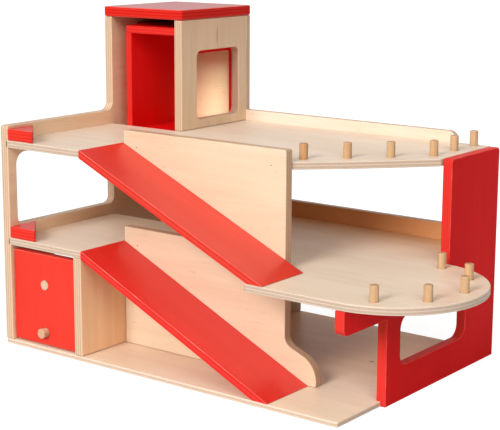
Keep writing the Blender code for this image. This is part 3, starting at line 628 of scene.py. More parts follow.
class Nodes:
    """Short calls for the nodes of one tree."""

    def __init__(self, tree):
        self.nodes, self.links = tree.nodes, tree.links

    def add(self, kind, inputs=None, **settings):
        """A new node with its settings and with what goes into its sockets."""
        node = self.nodes.new("ShaderNode" + kind)
        for label, value in settings.items():
            setattr(node, label, value)
        for label, source in (inputs or {}).items():
            self.join(source, node.inputs[label])
        return node

    def join(self, source, socket):
        """Link an output to a socket, or set the socket to a plain value."""
        if isinstance(source, bpy.types.NodeSocket):
            self.links.new(source, socket)
        else:
            socket.default_value = source

    def math(self, operation, *values):
        """One Math node."""
        return self.add("Math", dict(enumerate(values)), operation=operation).outputs[0]

    def remap(self, value, low, high, to_low=0.0, to_high=1.0, **settings):
        """A number moved from one span to another, held inside it."""
        inputs = {"Value": value, "From Min": low, "From Max": high, "To Min": to_low,
                  "To Max": to_high}
        return self.add("MapRange", inputs, clamp=True, **settings).outputs["Result"]

    def mix(self, share, first, second, blend="MIX"):
        """A blend of two colours."""
        first, second = (colour if isinstance(colour, bpy.types.NodeSocket) else (*colour, 1.0)
                         for colour in (first, second))
        return self.add("Mix", {"Factor": share, "A": first, "B": second}, data_type="RGBA",
                        blend_type=blend).outputs["Result"]


class Shader(Nodes):
    """A Principled material under construction."""

    def __init__(self, name, gloss, metallic=0.0):
        self.material = bpy.data.materials.new(name)
        self.material.use_nodes = True
        super().__init__(self.material.node_tree)
        self.object = self.add("TexCoord").outputs["Object"]
        self.finish({"Specular IOR Level": gloss, "Coat Roughness": COAT_ROUGHNESS,
                     "Metallic": metallic})

    def finish(self, inputs):
        """Give sockets of the surface their sources."""
        for label, source in inputs.items():
            self.join(source, self.nodes["Principled BSDF"].inputs[label])

    def bump(self, height, distance):
        """Raise the surface by a height field, in metres."""
        node = self.add("Bump", {"Height": height, "Distance": distance})
        self.finish({"Normal": node.outputs["Normal"]})

    def edge(self):
        """How much of a point's finish is board edge, as stored on the mesh."""
        return self.add("Attribute", attribute_name="edge").outputs["Fac"]

    def along(self, axis):
        """One component of the object coordinates."""
        return self.add("SeparateXYZ", {"Vector": self.object}).outputs["XYZ"[axis]]

    def mapped(self, spread, turn=(0, 0, 0), shift=(0, 0, 0)):
        """Object coordinates, shifted, turned back and then divided by the spread."""
        return self.add("Mapping", {"Vector": self.object, "Location": shift, "Rotation": turn,
                                    "Scale": spread}, vector_type="TEXTURE").outputs["Vector"]

    def noise(self, kind, grain=0, turn=(0, 0, 0), shift=(0, 0, 0)):
        """Noise of one kind, stretched along the grain's axis, as a number round one half."""
        across, length, detail, rough, distortion = kind
        spread = [1 / across] * 3
        spread[grain] = 1 / length
        return self.add("TexNoise", {"Vector": self.mapped(spread, turn, shift), "Scale": 1.0,
                                     "Detail": detail, "Roughness": rough,
                                     "Distortion": distortion}).outputs["Fac"]


def tinted(colour, tint):
    """A colour with each channel scaled, held below pure white."""
    return tuple(min(LIGHTEST, part * scale) for part, scale in zip(colour, tint))


def board_depth(maker, axis, low):
    """Depth of a point above a board's low face, wandering a little as cut veneers do."""
    place = maker.math("SUBTRACT", maker.along(axis), low + CORNER[axis])
    wander = maker.math("SUBTRACT", maker.noise(PLY_WAVES), 0.5)
    return maker.math("MULTIPLY_ADD", wander, PLY_WANDER, place)


def ramp_depth(maker, rise, top):
    """Depth of a point below a ramp's sloping top face."""
    top_z = top + (RAMP_START + CORNER.x) * rise
    height = maker.math("MULTIPLY_ADD", maker.along(0), rise, maker.along(2))
    return maker.math("MULTIPLY", maker.math("SUBTRACT", top_z, height),
                      math.cos(math.atan(rise)))


def plies(maker, depth, thickness, count):
    """Plies across a board: (1 on every second ply, glue line share)."""
    step = maker.math("DIVIDE", depth, thickness / count)
    odd = maker.math("FLOORED_MODULO", maker.math("FLOOR", step), 2.0)
    inside = maker.math("FRACT", step)
    from_line = maker.math("MINIMUM", inside, maker.math("SUBTRACT", 1.0, inside))
    return odd, maker.remap(from_line, 0.0, GLUE_SHARE, 1.0, 0.0)


def relief(maker, share, odd, glue, fibres, ridge, height):
    """Raise the fibres everywhere, and on edges the plies between their glue lines."""
    ridges = maker.math("MULTIPLY", share, maker.math("SUBTRACT", odd, glue))
    maker.bump(maker.math("MULTIPLY_ADD", ridges, ridge, fibres), height)


def birch(name, grain, ply, light, dark, wall, shift, gloss, marks, shade_and_light):
    """Bare birch plywood: a veneer face with fine straight grain, and plies on its edges.

    A ply is (axis, low face, thickness, count). The wall is a tint for the edges. A mark is
    (centre, spread along x, y and z, strength): a knot or a dark streak in the veneer. An entry of
    shade_and_light is painted shade and light, (spans, tint): the veneer takes on the tint where
    all spans, each (axis, start, end), are past their ends.
    """
    axis, low, thickness, count = ply
    maker = Shader(name, gloss)
    clouds, figure, fibres, flecks = (maker.noise(kind, grain, shift=shift)
                                      for kind in (CLOUDS, FIGURE, FIBRES, FLECKS))
    tone = maker.math("MULTIPLY_ADD", clouds, 0.5, maker.math("MULTIPLY", figure, 0.5))
    veneer = maker.mix(maker.remap(tone, *VENEER_TONE), dark, light)
    veneer = maker.mix(maker.remap(fibres, *VENEER_STREAKS), veneer, tinted(dark, STREAK_TINT))
    veneer = maker.mix(maker.remap(flecks, *VENEER_FLECKS), veneer, tinted(dark, FLECK_TINT))
    for centre, spread, strength in marks:
        away = maker.mapped(spread, shift=Vector(centre) + CORNER)
        length = maker.add("VectorMath", {0: away}, operation="LENGTH").outputs["Value"]
        veneer = maker.mix(maker.remap(length, *KNOT_FADE, strength, 0.0), veneer, KNOT_COLOUR)
    # Painted shade and light: where all spans are past their ends, the veneer is multiplied by the
    # tint
    for spans, tint in shade_and_light:
        share = 1.0
        for along, start, end in spans:
            share = maker.math("MULTIPLY", share, maker.remap(
                maker.along(along), start + CORNER[along], end + CORNER[along]))
        veneer = maker.mix(share, veneer, tint, "MULTIPLY")
    light, dark = tinted(light, wall), tinted(dark, wall)
    odd, glue = plies(maker, board_depth(maker, axis, low), thickness, count)
    long_ply = maker.mix(maker.remap(fibres, *LONG_PLY_TONE),
                         *(tinted(light, tint) for tint in LONG_PLY_TINTS))
    end_ply = maker.mix(maker.remap(maker.noise(PLY_PORES), *END_PLY_TONE),
                        *(tinted(dark, tint) for tint in END_PLY_TINTS))
    edge = maker.mix(maker.math("MULTIPLY", glue, GLUE_STRENGTH),
                     maker.mix(odd, long_ply, end_ply), tinted(dark, GLUE_TINT))
    share = maker.edge()
    maker.finish({"Base Color": maker.mix(share, veneer, edge),
                  "Roughness": maker.remap(fibres, *VENEER_ROUGHNESS)})
    relief(maker, share, odd, glue, fibres, VENEER_RIDGE, VENEER_RELIEF)
    return maker.material


def red_paint(name, grain, ply, colour, wall, gloss, wall_gloss, lines, coat, slope):
    """Red paint over plywood: grain and plies show through as fine ridges, worn arrises with a
    painted highlight.

    A ply is (axis, low face, thickness, count), and lines is how strongly the plies show. The
    wall is the colour of the edges. A coat of lacquer lies on the faces only. On a ramp, slope is
    (rise, top): its plies and its grain run down the slope.
    """
    axis, low, thickness, count = ply
    maker = Shader(name, gloss)
    turn = (0, math.atan(slope[0]), 0) if slope else (0, 0, 0)
    clouds, figure, fibres = (maker.noise(kind, grain, turn, PAINT_SHIFT)
                              for kind in (CLOUDS, FIGURE, FIBRES))
    deep, cloudy = tinted(colour, DEEP_TINT), maker.remap(clouds, *PAINT_TONE)
    paint = maker.mix(cloudy, deep, colour)
    paint = maker.mix(maker.remap(figure, *PAINT_FIGURE), paint, deep)
    paint = maker.mix(maker.remap(fibres, *PAINT_FIBRES), paint, deep)
    depth = ramp_depth(maker, *slope) if slope else board_depth(maker, axis, low)
    odd, glue = plies(maker, depth, thickness, count)
    share = maker.edge()
    thin = [part + lift for part, lift in zip(tinted(wall, THIN_TINT), THIN_LIFT)]
    edge = maker.mix(cloudy, tinted(wall, DEEP_EDGE_TINT), wall)
    edge = maker.mix(maker.math("MULTIPLY", odd, PLY_STRENGTH * min(1, lines)), edge, thin)
    edge = maker.mix(maker.math("MULTIPLY", glue, PAINT_GLUE_STRENGTH * lines), edge,
                     tinted(wall, PAINT_GLUE_TINT))
    paint = maker.mix(share, paint, edge)
    if coat:
        maker.finish({"Coat Weight": maker.remap(share, 0.0, 1.0, coat, 0.0)})
    if wall_gloss is not None:
        maker.finish({"Specular IOR Level": maker.remap(share, 0.0, 1.0, gloss, wall_gloss)})
    # The arris is 4 times the edge's share times the face's, which is 1 halfway between the two
    arris = maker.math("MULTIPLY", maker.math("MULTIPLY", share, 4.0),
                       maker.math("SUBTRACT", 1.0, share))
    # Wear and painted highlight: lighter patches along the arris, a painted highlight where light
    # catches the rounding, brightest on the ramps
    rubbed_and_highlit = maker.math("MULTIPLY", arris, maker.remap(maker.noise(ARRIS_RUB_AND_HIGHLIGHT_NOISE), *ARRIS_RUB_AND_HIGHLIGHT_SPAN))
    maker.finish({"Base Color": maker.mix(rubbed_and_highlit, paint, RAMP_RUBBED_AND_HIGHLIT_ARRIS if slope else RUBBED_AND_HIGHLIT_ARRIS),
                  "Roughness": maker.remap(figure, *PAINT_ROUGHNESS)})
    relief(maker, share, odd, glue, fibres, PAINT_RIDGE * lines, PAINT_RELIEF)
    return maker.material


def dowel_wood(name, axis, light, dark, end):
    """Turned dowel: long fibres round the side, a pale or brown end with fine pores."""
    maker = Shader(name, DOWEL_GLOSS)
    fibres, bands = maker.noise(DOWEL_FIBRES, axis), maker.noise(DOWEL_BANDS, axis)
    tone = maker.math("ADD", maker.math("MULTIPLY", fibres, 0.5),
                      maker.math("MULTIPLY", bands, 0.5))
    side = maker.mix(maker.remap(tone, *DOWEL_TONE), dark, light)
    tip = maker.mix(maker.remap(maker.noise(DOWEL_PORES), *DOWEL_END_TONE),
                    [part * END_PORE for part in end], end)
    maker.finish({"Base Color": maker.mix(maker.edge(), side, tip),
                  "Roughness": maker.remap(fibres, *DOWEL_ROUGHNESS)})
    maker.bump(tone, DOWEL_RELIEF)
    return maker.material


def steel(name, colour):
    """Dull steel wire with fine drawn lines."""
    maker = Shader(name, STEEL_GLOSS, metallic=1.0)
    lines = maker.noise(DRAWN_LINES, 1)
    dark = [part * STEEL_DARK for part in colour]
    maker.finish({"Base Color": maker.mix(maker.remap(lines, *STEEL_TONE), dark, colour),
                  "Roughness": maker.remap(lines, *STEEL_ROUGHNESS)})
    maker.bump(lines, STEEL_RELIEF)
    return maker.material


def floor_finish():
    """Seamless studio paper: pale and faintly mottled, with a little light of its own.

    It has one lightness and own light as it is seen, and another as it lights the garage.
    """
    maker = Shader("studio_paper", FLOOR_GLOSS)
    direct = maker.add("LightPath").outputs["Is Camera Ray"]
    mottle = maker.remap(maker.noise(MOTTLE), *FLOOR_TONE)
    lightness, glow = (maker.remap(direct, 0.0, 1.0, bounced, seen)
                       for bounced, seen in zip(FLOOR_BOUNCED, FLOOR_SEEN))
    maker.finish({"Base Color": maker.math("MULTIPLY", lightness, mottle),
                  "Roughness": FLOOR_ROUGHNESS, "Emission Color": WHITE,
                  "Emission Strength": glow})
    return maker.material


def paint_piece(piece, material):
    """Give a piece its material."""
    piece.data.materials.append(material)


class GarageSizes(bpy.types.PropertyGroup):
    """Sizes of the visible easing that a user would change."""

    arris: FloatProperty(name="Arris", description="Rounding of the boards' edges",
                         default=0.0011, min=0.0003, max=0.002, unit="LENGTH")
    roof_arris: FloatProperty(name="Roof arris", description="Rounding of the roof's edges",
                              default=0.002, min=0.0005, max=0.003, unit="LENGTH")
    sharp: FloatProperty(name="Plan corner", description="Least rounding of a board's corners",
                         default=0.0014, min=0.0012, max=0.003, unit="LENGTH")
    peg_rim: FloatProperty(name="Peg rim", description="Rounding of a peg's top rim",
                           default=0.0009, min=0.0002, max=0.002, unit="LENGTH")


class GarageColours(bpy.types.PropertyGroup):
    """Colours of the garage's finishes."""

    red: FloatVectorProperty(name="Red", description="Red paint", subtype="COLOR", size=3,
                             default=(0.71, 0.030, 0.015), min=0.0, max=1.0)
    birch_light: FloatVectorProperty(name="Birch", description="Lighter veneer", subtype="COLOR",
                                     size=3, default=(0.80, 0.62, 0.43), min=0.0, max=1.0)
    birch_dark: FloatVectorProperty(name="Birch grain", description="Darker veneer",
                                    subtype="COLOR", size=3, default=(0.715, 0.53, 0.34),
                                    min=0.0, max=1.0)
    dowel: FloatVectorProperty(name="Dowel", description="Peg wood", subtype="COLOR", size=3,
                               default=(0.52, 0.33, 0.18), min=0.0, max=1.0)


class GarageStage(bpy.types.PropertyGroup):
    """Light and camera."""

    sky: FloatProperty(name="Room", description="Strength of the light from all round",
                       default=0.03, min=0.0, max=3.0)
    backdrop: FloatProperty(name="Backdrop", description="Strength of the paper behind",
                            default=0.65, min=0.0, max=3.0)
    key: FloatProperty(name="Key", description="Strength of the soft light from the front",
                       default=3.0, min=0.0, max=20.0)
    side: FloatProperty(name="Side", description="Strength of the light from the right",
                        default=1.1, min=0.0, max=20.0)
    fill: FloatProperty(name="Fills", description="Strength of each of the three weak lights",
                        default=0.44, min=0.0, max=20.0)
    lens: FloatProperty(name="Lens", description="Focal length of the camera", default=102.0766,
                        min=20.0, max=400.0)


class PieceOperator:
    """What every piece operator shares."""

    bl_options = {"REGISTER", "UNDO"}

    def make(self, context, name, corners, thickness, low, plane, openings=(), arris=None,
             sockets=(), body="garage", slope=None):
        """A board with the finish that the tables give for its name.

        A corner without a radius has the least one.
        """
        sizes, colours = context.scene.garage_sizes, context.scene.garage_colours
        outline = ring([(*corner, sizes.sharp)[:3] for corner in corners])
        piece = board(name, [outline, *openings], thickness, low, plane, arris or sizes.arris,
                      sockets, body)
        # The tables' face and edge tints are partly painted light and shade fitted per board
        if name in WOODS:
            grain, count, faces, edges, shift, gloss, slot = WOODS[name]
            finish = birch(name + "_birch", grain, (plane[2], low, thickness, count),
                           tinted(colours.birch_light, faces), tinted(colours.birch_dark, faces),
                           edges, shift, gloss, MARKS.get(name, ()), PAINTED_SHADE_AND_LIGHT.get(name, ()))
        else:
            grain, count, faces, edges, gloss, wall_gloss, lines, coat = PAINTS[name]
            depth = RAMP_T if slope else thickness
            slot = "red_paint"
            finish = red_paint(name + "_red", grain, (plane[2], low, depth, count),
                               tinted(colours.red, faces), tinted(colours.red, edges), gloss,
                               wall_gloss, lines, coat, slope)
        paint_piece(piece, finish)
        return piece


class GARAGE_OT_base_board(PieceOperator, bpy.types.Operator):
    """Thin base board with square corners"""

    bl_idname = "garage.base_board"
    bl_label = "Base Board"

    def execute(self, context):
        outline = rectangle(0, 0, RED_LEFT + RABBET - GAP, DEPTH, BASE_CORNER)
        self.make(context, "base_board", outline, BASE_T, 0, PLAN)
        return {"FINISHED"}


class GARAGE_OT_left_panel(PieceOperator, bpy.types.Operator):
    """Left end panel: low rail, tower side and a window on each of two levels"""

    bl_idname = "garage.left_panel"
    bl_label = "Left End Panel"

    def execute(self, context):
        outline = [(0, BASE_SEAT), (DEPTH, BASE_SEAT), (DEPTH, WALL_TOP), (SHAFT_FRONT, WALL_TOP),
                   (SHAFT_FRONT, LEFT_RAIL_TOP, LEFT_RAIL_FILLET),
                   (0, LEFT_RAIL_TOP, LEFT_RAIL_CORNER)]
        windows = [ring([
            (LEFT_POST, sill, LEFT_SILL_CORNER), (SHAFT_FRONT, sill, LEFT_SILL_CORNER),
            (SHAFT_FRONT, sill + LEFT_WINDOW_HEIGHT, LEFT_WINDOW_CORNER),
            (LEFT_POST, sill + LEFT_WINDOW_HEIGHT, LEFT_WINDOW_CORNER),
        ], hole=True) for sill in LEFT_SILLS]
        self.make(context, "left_end_panel", outline, PANEL_T, 0, SIDE, windows)
        return {"FINISHED"}


class GARAGE_OT_right_panel(PieceOperator, bpy.types.Operator):
    """Red right end panel: foot, arm under the round deck, window and post"""

    bl_idname = "garage.right_panel"
    bl_label = "Right End Panel"

    def execute(self, context):
        arm_top = MID_UNDER - GAP
        outline = [(RED_FOOT_FRONT, 0), (DEPTH, 0), (DEPTH, UPPER_TOP, RED_TOP_CORNER),
                   (RED_POST_FRONT, UPPER_TOP, RED_TOP_CORNER), (RED_POST_FRONT, arm_top),
                   (0, arm_top), (0, RED_ARM_LOW, RED_ARM_CORNER), (RED_FOOT_FRONT, RED_ARM_LOW)]
        self.make(context, "right_end_panel", outline, PANEL_T, RED_LEFT, SIDE,
                  [window(*RED_WINDOW, RED_WINDOW_CORNER)])
        return {"FINISHED"}


class GARAGE_OT_back_panel(PieceOperator, bpy.types.Operator):
    """Back panel: tall behind the lift, a rail along the upper deck, open below"""

    bl_idname = "garage.back_panel"
    bl_label = "Back Panel"

    def execute(self, context):
        left, right, opening_right = PANEL_T + GAP, RED_LEFT - GAP, RED_LEFT - BACK_POST
        head, seat = MID_UNDER - BACK_HEAD, UPPER_UNDER - GAP
        outline = [
            (left, BASE_SEAT), (BACK_BASE_LEFT, BASE_SEAT),
            (BACK_BASE_LEFT, head, BACK_WINDOW_CORNER), (opening_right, head, BACK_WINDOW_CORNER),
            (opening_right, BASE_SEAT), (right, BASE_SEAT), (right, seat), (BACK_RAIL_END, seat),
            (BACK_RAIL_END, BACK_RAIL_TOP, BACK_RAIL_CORNER), (BAY_RIGHT, BACK_RAIL_TOP),
            (BAY_RIGHT, WALL_TOP), (left, WALL_TOP),
        ]
        opening = window(BACK_MID_LEFT, BACK_MID_SILL, opening_right, UPPER_UNDER - BACK_HEAD,
                         BACK_WINDOW_CORNER)
        self.make(context, "back_panel", outline, BACK_T, BACK_FACE, FRONT, [opening])
        return {"FINISHED"}


def deck_corners(own):
    """A deck's corners: bay and notch for guard and ramps, its own ones, the lift's shaft."""
    return [(DECK_LEFT, 0), (BAY_RIGHT, 0), (BAY_RIGHT, NOTCH_BACK), *own,
            (WALL_LEFT, DECK_BACK), (WALL_LEFT, SHAFT_FRONT), (DECK_LEFT, SHAFT_FRONT)]


class GARAGE_OT_mid_deck(PieceOperator, bpy.types.Operator):
    """Middle deck with its half-round end"""

    bl_idname = "garage.mid_deck"
    bl_label = "Middle Deck"

    def execute(self, context):
        notch_right, round_right = GUARD_END + GAP, DECK_RIGHT + END_RADIUS
        # The half-round end is two corners of its own radius, the second one a little less so
        # that it meets the red panel
        outline = deck_corners([
            (notch_right, NOTCH_BACK), (notch_right - TONGUE_SLANT, 0, TONGUE_CORNER),
            (round_right, 0, END_RADIUS), (round_right, 2 * END_RADIUS, END_RADIUS - ROUND_MEET),
            (DECK_RIGHT, 2 * END_RADIUS, ROUND_MEET), (DECK_RIGHT, DECK_BACK),
        ])
        self.make(context, "mid_deck", outline, DECK_T, MID_UNDER, PLAN,
                  sockets=mid_peg_places())
        return {"FINISHED"}


class GARAGE_OT_upper_deck(PieceOperator, bpy.types.Operator):
    """Upper deck with its slanting, slightly bowed front edge"""

    bl_idname = "garage.upper_deck"
    bl_label = "Upper Deck"

    def execute(self, context):
        least = context.scene.garage_sizes.sharp
        start, end = EDGE_LINE
        # The bowed edge is one corner whose tip stands out by twice the bow
        half = (end - start) / 2
        middle = start + half + Vector((half.y, -half.x)).normalized() * 2 * EDGE_BOW
        bend = math.atan2(2 * EDGE_BOW, half.length)
        radius = (half.length - 2 * least) / math.tan(bend)
        outline = deck_corners([start, (*middle, radius), end, (DECK_RIGHT, DEPTH),
                                (TAB_LEFT, DEPTH), (TAB_LEFT, DECK_BACK)])
        self.make(context, "upper_deck", outline, DECK_T, UPPER_UNDER, PLAN,
                  sockets=upper_peg_places())
        return {"FINISHED"}


class GARAGE_OT_divider(PieceOperator, bpy.types.Operator):
    """Short wall between the garage and the space under the ramps"""

    bl_idname = "garage.divider"
    bl_label = "Garage Divider"

    def execute(self, context):
        outline = rectangle(0, BASE_SEAT, GUARD_BACK, MID_UNDER - GAP)
        self.make(context, "garage_divider", outline, PANEL_T, WALL_LEFT, SIDE)
        return {"FINISHED"}


def ramp_rise(top, tip, foot):
    """Height that a ramp's top face loses for each unit of length."""
    return (top - foot) / (tip - RAMP_START)


class GARAGE_OT_guard(PieceOperator, bpy.types.Operator):
    """Guard board beside the ramps, with its S-shaped foot and wedge-shaped mouth"""

    bl_idname = "garage.guard"
    bl_label = "Guard Board"

    def execute(self, context):
        rise = ramp_rise(UPPER_TOP, UPPER_TIP, MID_TOP + GAP)
        mouth_top = UPPER_TOP - RAMP_T * math.hypot(1, rise) - MOUTH_COVER
        mouth_end = RAMP_START + (mouth_top - MOUTH_SILL) / rise
        # The foot slopes down from a fillet to a round toe, which tucks in above the base
        toe = GUARD_END + FOOT_REACH
        round_z = BASE_T + FOOT_LIFT
        tuck = math.asin((round_z - BASE_SEAT) / FOOT_ROUND)
        low_x = toe - FOOT_ROUND * (1 - math.cos(tuck))
        shoulder = round_z + FOOT_ROUND * math.tan((math.pi / 2 - FOOT_SLOPE) / 2)
        throat = shoulder + FOOT_REACH * math.tan(FOOT_SLOPE)
        outline = [
            (RAMP_START, BASE_SEAT), (low_x, BASE_SEAT),
            (toe, round_z - FOOT_ROUND * math.tan(tuck / 2), TOE_CORNER),
            (toe, shoulder, FOOT_ROUND), (GUARD_END, throat, FOOT_FILLET),
            (GUARD_END, GUARD_TOP, GUARD_CORNER), (RAMP_START, GUARD_TOP, GUARD_CORNER),
            (RAMP_START, mouth_top), (mouth_end, MOUTH_SILL, MOUTH_FILLET),
            (RAMP_START, MOUTH_SILL),
        ]
        self.make(context, "guard_board", outline, PANEL_T, GUARD_FRONT, FRONT)
        for index, (x, z) in enumerate(nail_places(), start=1):
            name = f"guard_nail_{index}"
            nail = lathe(name, dowel_rows(NAIL_R, NAIL_LENGTH, DOWEL_RIM),
                         (x, GUARD_FRONT - NAIL_PROUD, z), ROUND_Y)
            paint_piece(nail, steel(name + "_steel", NAIL_STEEL))
        return {"FINISHED"}


def nail_places():
    """Places of the nail heads in the guard: two on the upper deck's edge, one on the middle."""
    near, far = RAMP_START + NAIL_END, GUARD_END - NAIL_END
    upper, mid = UPPER_TOP - DECK_T / 2, MID_TOP - DECK_T / 2
    return [(near, upper), (far, upper), (near, mid)]


class GARAGE_OT_ramps(PieceOperator, bpy.types.Operator):
    """The two red ramps"""

    bl_idname = "garage.ramps"
    bl_label = "Ramps"

    def execute(self, context):
        for name, top, tip, foot in (("upper_ramp", UPPER_TOP, UPPER_TIP, MID_TOP + GAP),
                                     ("lower_ramp", MID_TOP, LOWER_TIP, BASE_SEAT)):
            rise = ramp_rise(top, tip, foot)
            under = top - RAMP_T * math.hypot(1, rise)
            heel = RAMP_START + (under - foot) / rise
            outline = [(RAMP_START, under, RAMP_CORNER), (heel, foot, RAMP_CORNER),
                       (tip, foot, TIP_CORNER), (RAMP_START, top, RAMP_CORNER)]
            piece = self.make(context, name, outline, RAMP_WIDTH, 0, FRONT, arris=RAMP_ARRIS,
                              slope=(rise, top))
            turn_edges(piece)
        return {"FINISHED"}


def turn_edges(piece):
    """A ramp's long sides show its plies, and its wide top and underside are its faces."""
    layer = piece.data.attributes["edge"].data
    shares = np.empty(len(layer), np.float32)
    layer.foreach_get("value", shares)
    layer.foreach_set("value", 1.0 - shares)


class GARAGE_OT_stop_blocks(PieceOperator, bpy.types.Operator):
    """Triangular corner blocks on both decks"""

    bl_idname = "garage.stop_blocks"
    bl_label = "Stop Blocks"

    def execute(self, context):
        left = PANEL_T + GAP
        outline = [(left, 0), (left + BLOCK_LEG, 0), (left, BLOCK_LEG)]
        for name, top in (("upper_stop_block", UPPER_TOP), ("mid_stop_block", MID_TOP)):
            self.make(context, name, outline, BLOCK_T, top + GAP, PLAN)
        return {"FINISHED"}


def upper_peg_places():
    """Three pegs along the slanting edge, three beside the red post."""
    start = EDGE_LINE[0]
    edge = EDGE_LINE[1] - start
    inward = Vector((-edge.y, edge.x)).normalized()
    along = [start + edge * (UPPER_EDGE_START + k * UPPER_EDGE_PITCH) + inward * UPPER_EDGE_INSET
             for k in range(UPPER_EDGE_PEGS)]
    first, last = RED_POST_FRONT + UPPER_SIDE_START, DEPTH - UPPER_BACK_INSET
    beside = [(RED_LEFT - UPPER_SIDE_INSET, y) for y in np.linspace(first, last, UPPER_SIDE_PEGS)]
    return [tuple(p) for p in along] + beside


def mid_peg_places():
    """Five pegs at equal angles round the half-round end."""
    radius = END_RADIUS - MID_PEG_INSET
    angles = [MID_PEG_FIRST + k * MID_PEG_STEP for k in range(MID_PEGS)]
    return [(DECK_RIGHT + radius * math.cos(a), END_RADIUS + radius * math.sin(a))
            for a in angles]


class GARAGE_OT_pegs(PieceOperator, bpy.types.Operator):
    """Dowel pegs on both decks"""

    bl_idname = "garage.pegs"
    bl_label = "Pegs"

    def execute(self, context):
        rows = dowel_rows(PEG_R, PEG_FOOT + PEG_HEIGHT, context.scene.garage_sizes.peg_rim)
        for level, top, places in (("upper", UPPER_TOP, upper_peg_places()),
                                   ("mid", MID_TOP, mid_peg_places())):
            for index, (x, y) in enumerate(places, start=1):
                name = f"{level}_peg_{index}"
                wood = tinted(context.scene.garage_colours.dowel, PEG_TINTS.get(name, PLAIN))
                piece = lathe(name, rows, (x, y, top - PEG_FOOT), PLAN)
                finish = dowel_wood(name + "_wood", 2, *(tinted(wood, t) for t in PEG_FINISH))
                paint_piece(piece, finish)
        return {"FINISHED"}


class GARAGE_OT_tower(PieceOperator, bpy.types.Operator):
    """The tower's side wall and its red roof"""

    bl_idname = "garage.tower"
    bl_label = "Lift Tower"

    def execute(self, context):
        wall = rectangle(SHAFT_FRONT, UPPER_TOP + GAP, DECK_BACK, WALL_TOP)
        self.make(context, "tower_side_panel", wall, PANEL_T, WALL_LEFT, SIDE,
                  [window(*TOWER_WINDOW, TOWER_WINDOW_CORNER)])
        roof = rectangle(-ROOF_REACH, SHAFT_FRONT - ROOF_REACH, BAY_RIGHT + ROOF_REACH,
                         DEPTH + ROOF_REACH, ROOF_CORNER)
        self.make(context, "tower_roof", roof, ROOF_T, ROOF_UNDER, PLAN,
                  arris=context.scene.garage_sizes.roof_arris)
        return {"FINISHED"}


class GARAGE_OT_lift_car(PieceOperator, bpy.types.Operator):
    """The red lift car"""

    bl_idname = "garage.lift_car"
    bl_label = "Lift Car"

    def execute(self, context):
        plan = rectangle(CAR_LEFT, CAR_FRONT, CAR_RIGHT, CAR_BACK)
        low, high = CAR_FLOOR_TOP + CAR_SEAM, CAR_CEILING - CAR_SEAM
        left_wall = rectangle(CAR_FRONT, low, CAR_BACK, high)
        right_wall = rectangle(CAR_FRONT + CAR_SETBACK, low, CAR_BACK, high)
        opening = window(*CAR_WINDOW, CAR_WINDOW_CORNER)
        floor_low, runner_left = CAR_FLOOR_TOP - CAR_T, PANEL_T + SLIDE_GAP
        runner_front = CAR_FRONT + RUNNER_SETBACK
        runner = rectangle(runner_front, floor_low, runner_front + RUNNER_WIDTH,
                           CAR_CEILING + CAR_T)
        for name, outline, thickness, place, plane, *openings in (
            ("lift_floor", plan, CAR_T, floor_low, PLAN),
            ("lift_roof", plan, CAR_T, CAR_CEILING, PLAN),
            ("lift_left_wall", left_wall, CAR_T, CAR_LEFT, SIDE),
            ("lift_right_wall", right_wall, CAR_T, CAR_RIGHT - CAR_T, SIDE, opening),
            ("lift_side_runner", runner, CAR_LEFT - GAP - runner_left, runner_left, SIDE),
        ):
            self.make(context, name, outline, thickness, place, plane, openings, CAR_ARRIS,
                      body="lift_car")
        return {"FINISHED"}


class GARAGE_OT_door(PieceOperator, bpy.types.Operator):
    """The garage door, its knob, plug and hinge pins"""

    bl_idname = "garage.door"
    bl_label = "Garage Door"

    def execute(self, context):
        outline = rectangle(DOOR_LEFT, DOOR_BOTTOM, DOOR_RIGHT, DOOR_TOP)
        holes = [circle(DOOR_MIDDLE, z, DOWEL_R + GAP) for z in (KNOB_Z, PLUG_Z)]
        self.make(context, "garage_door", outline, DOOR_T, DOOR_FRONT, FRONT, holes, body="door")
        for name, proud, z, rim, end in (
            ("door_knob", KNOB_PROUD, KNOB_Z, KNOB_RIM, KNOB_END),
            ("door_dowel_plug", 0.0, PLUG_Z, PLUG_RIM, PLUG_END),
        ):
            piece = lathe(name, dowel_rows(DOWEL_R, DOOR_T + proud, PLUG_RIM, rim),
                          (DOOR_MIDDLE, DOOR_FRONT - proud, z), ROUND_Y, "door")
            paint_piece(piece, dowel_wood(name + "_wood", 1, *DOOR_DOWEL, end))
        rows = dowel_rows(PIN_R, 2 * PIN_REACH + DOOR_SIDE_GAP, DOWEL_RIM)
        for side, start in (("left", PANEL_T), ("right", DOOR_RIGHT)):
            name = "door_hinge_pin_" + side
            piece = lathe(name, rows, (start - PIN_REACH, PIN_Y, PIN_Z), SIDE, "door")
            paint_piece(piece, steel(name + "_steel", PIN_STEEL))
        return {"FINISHED"}


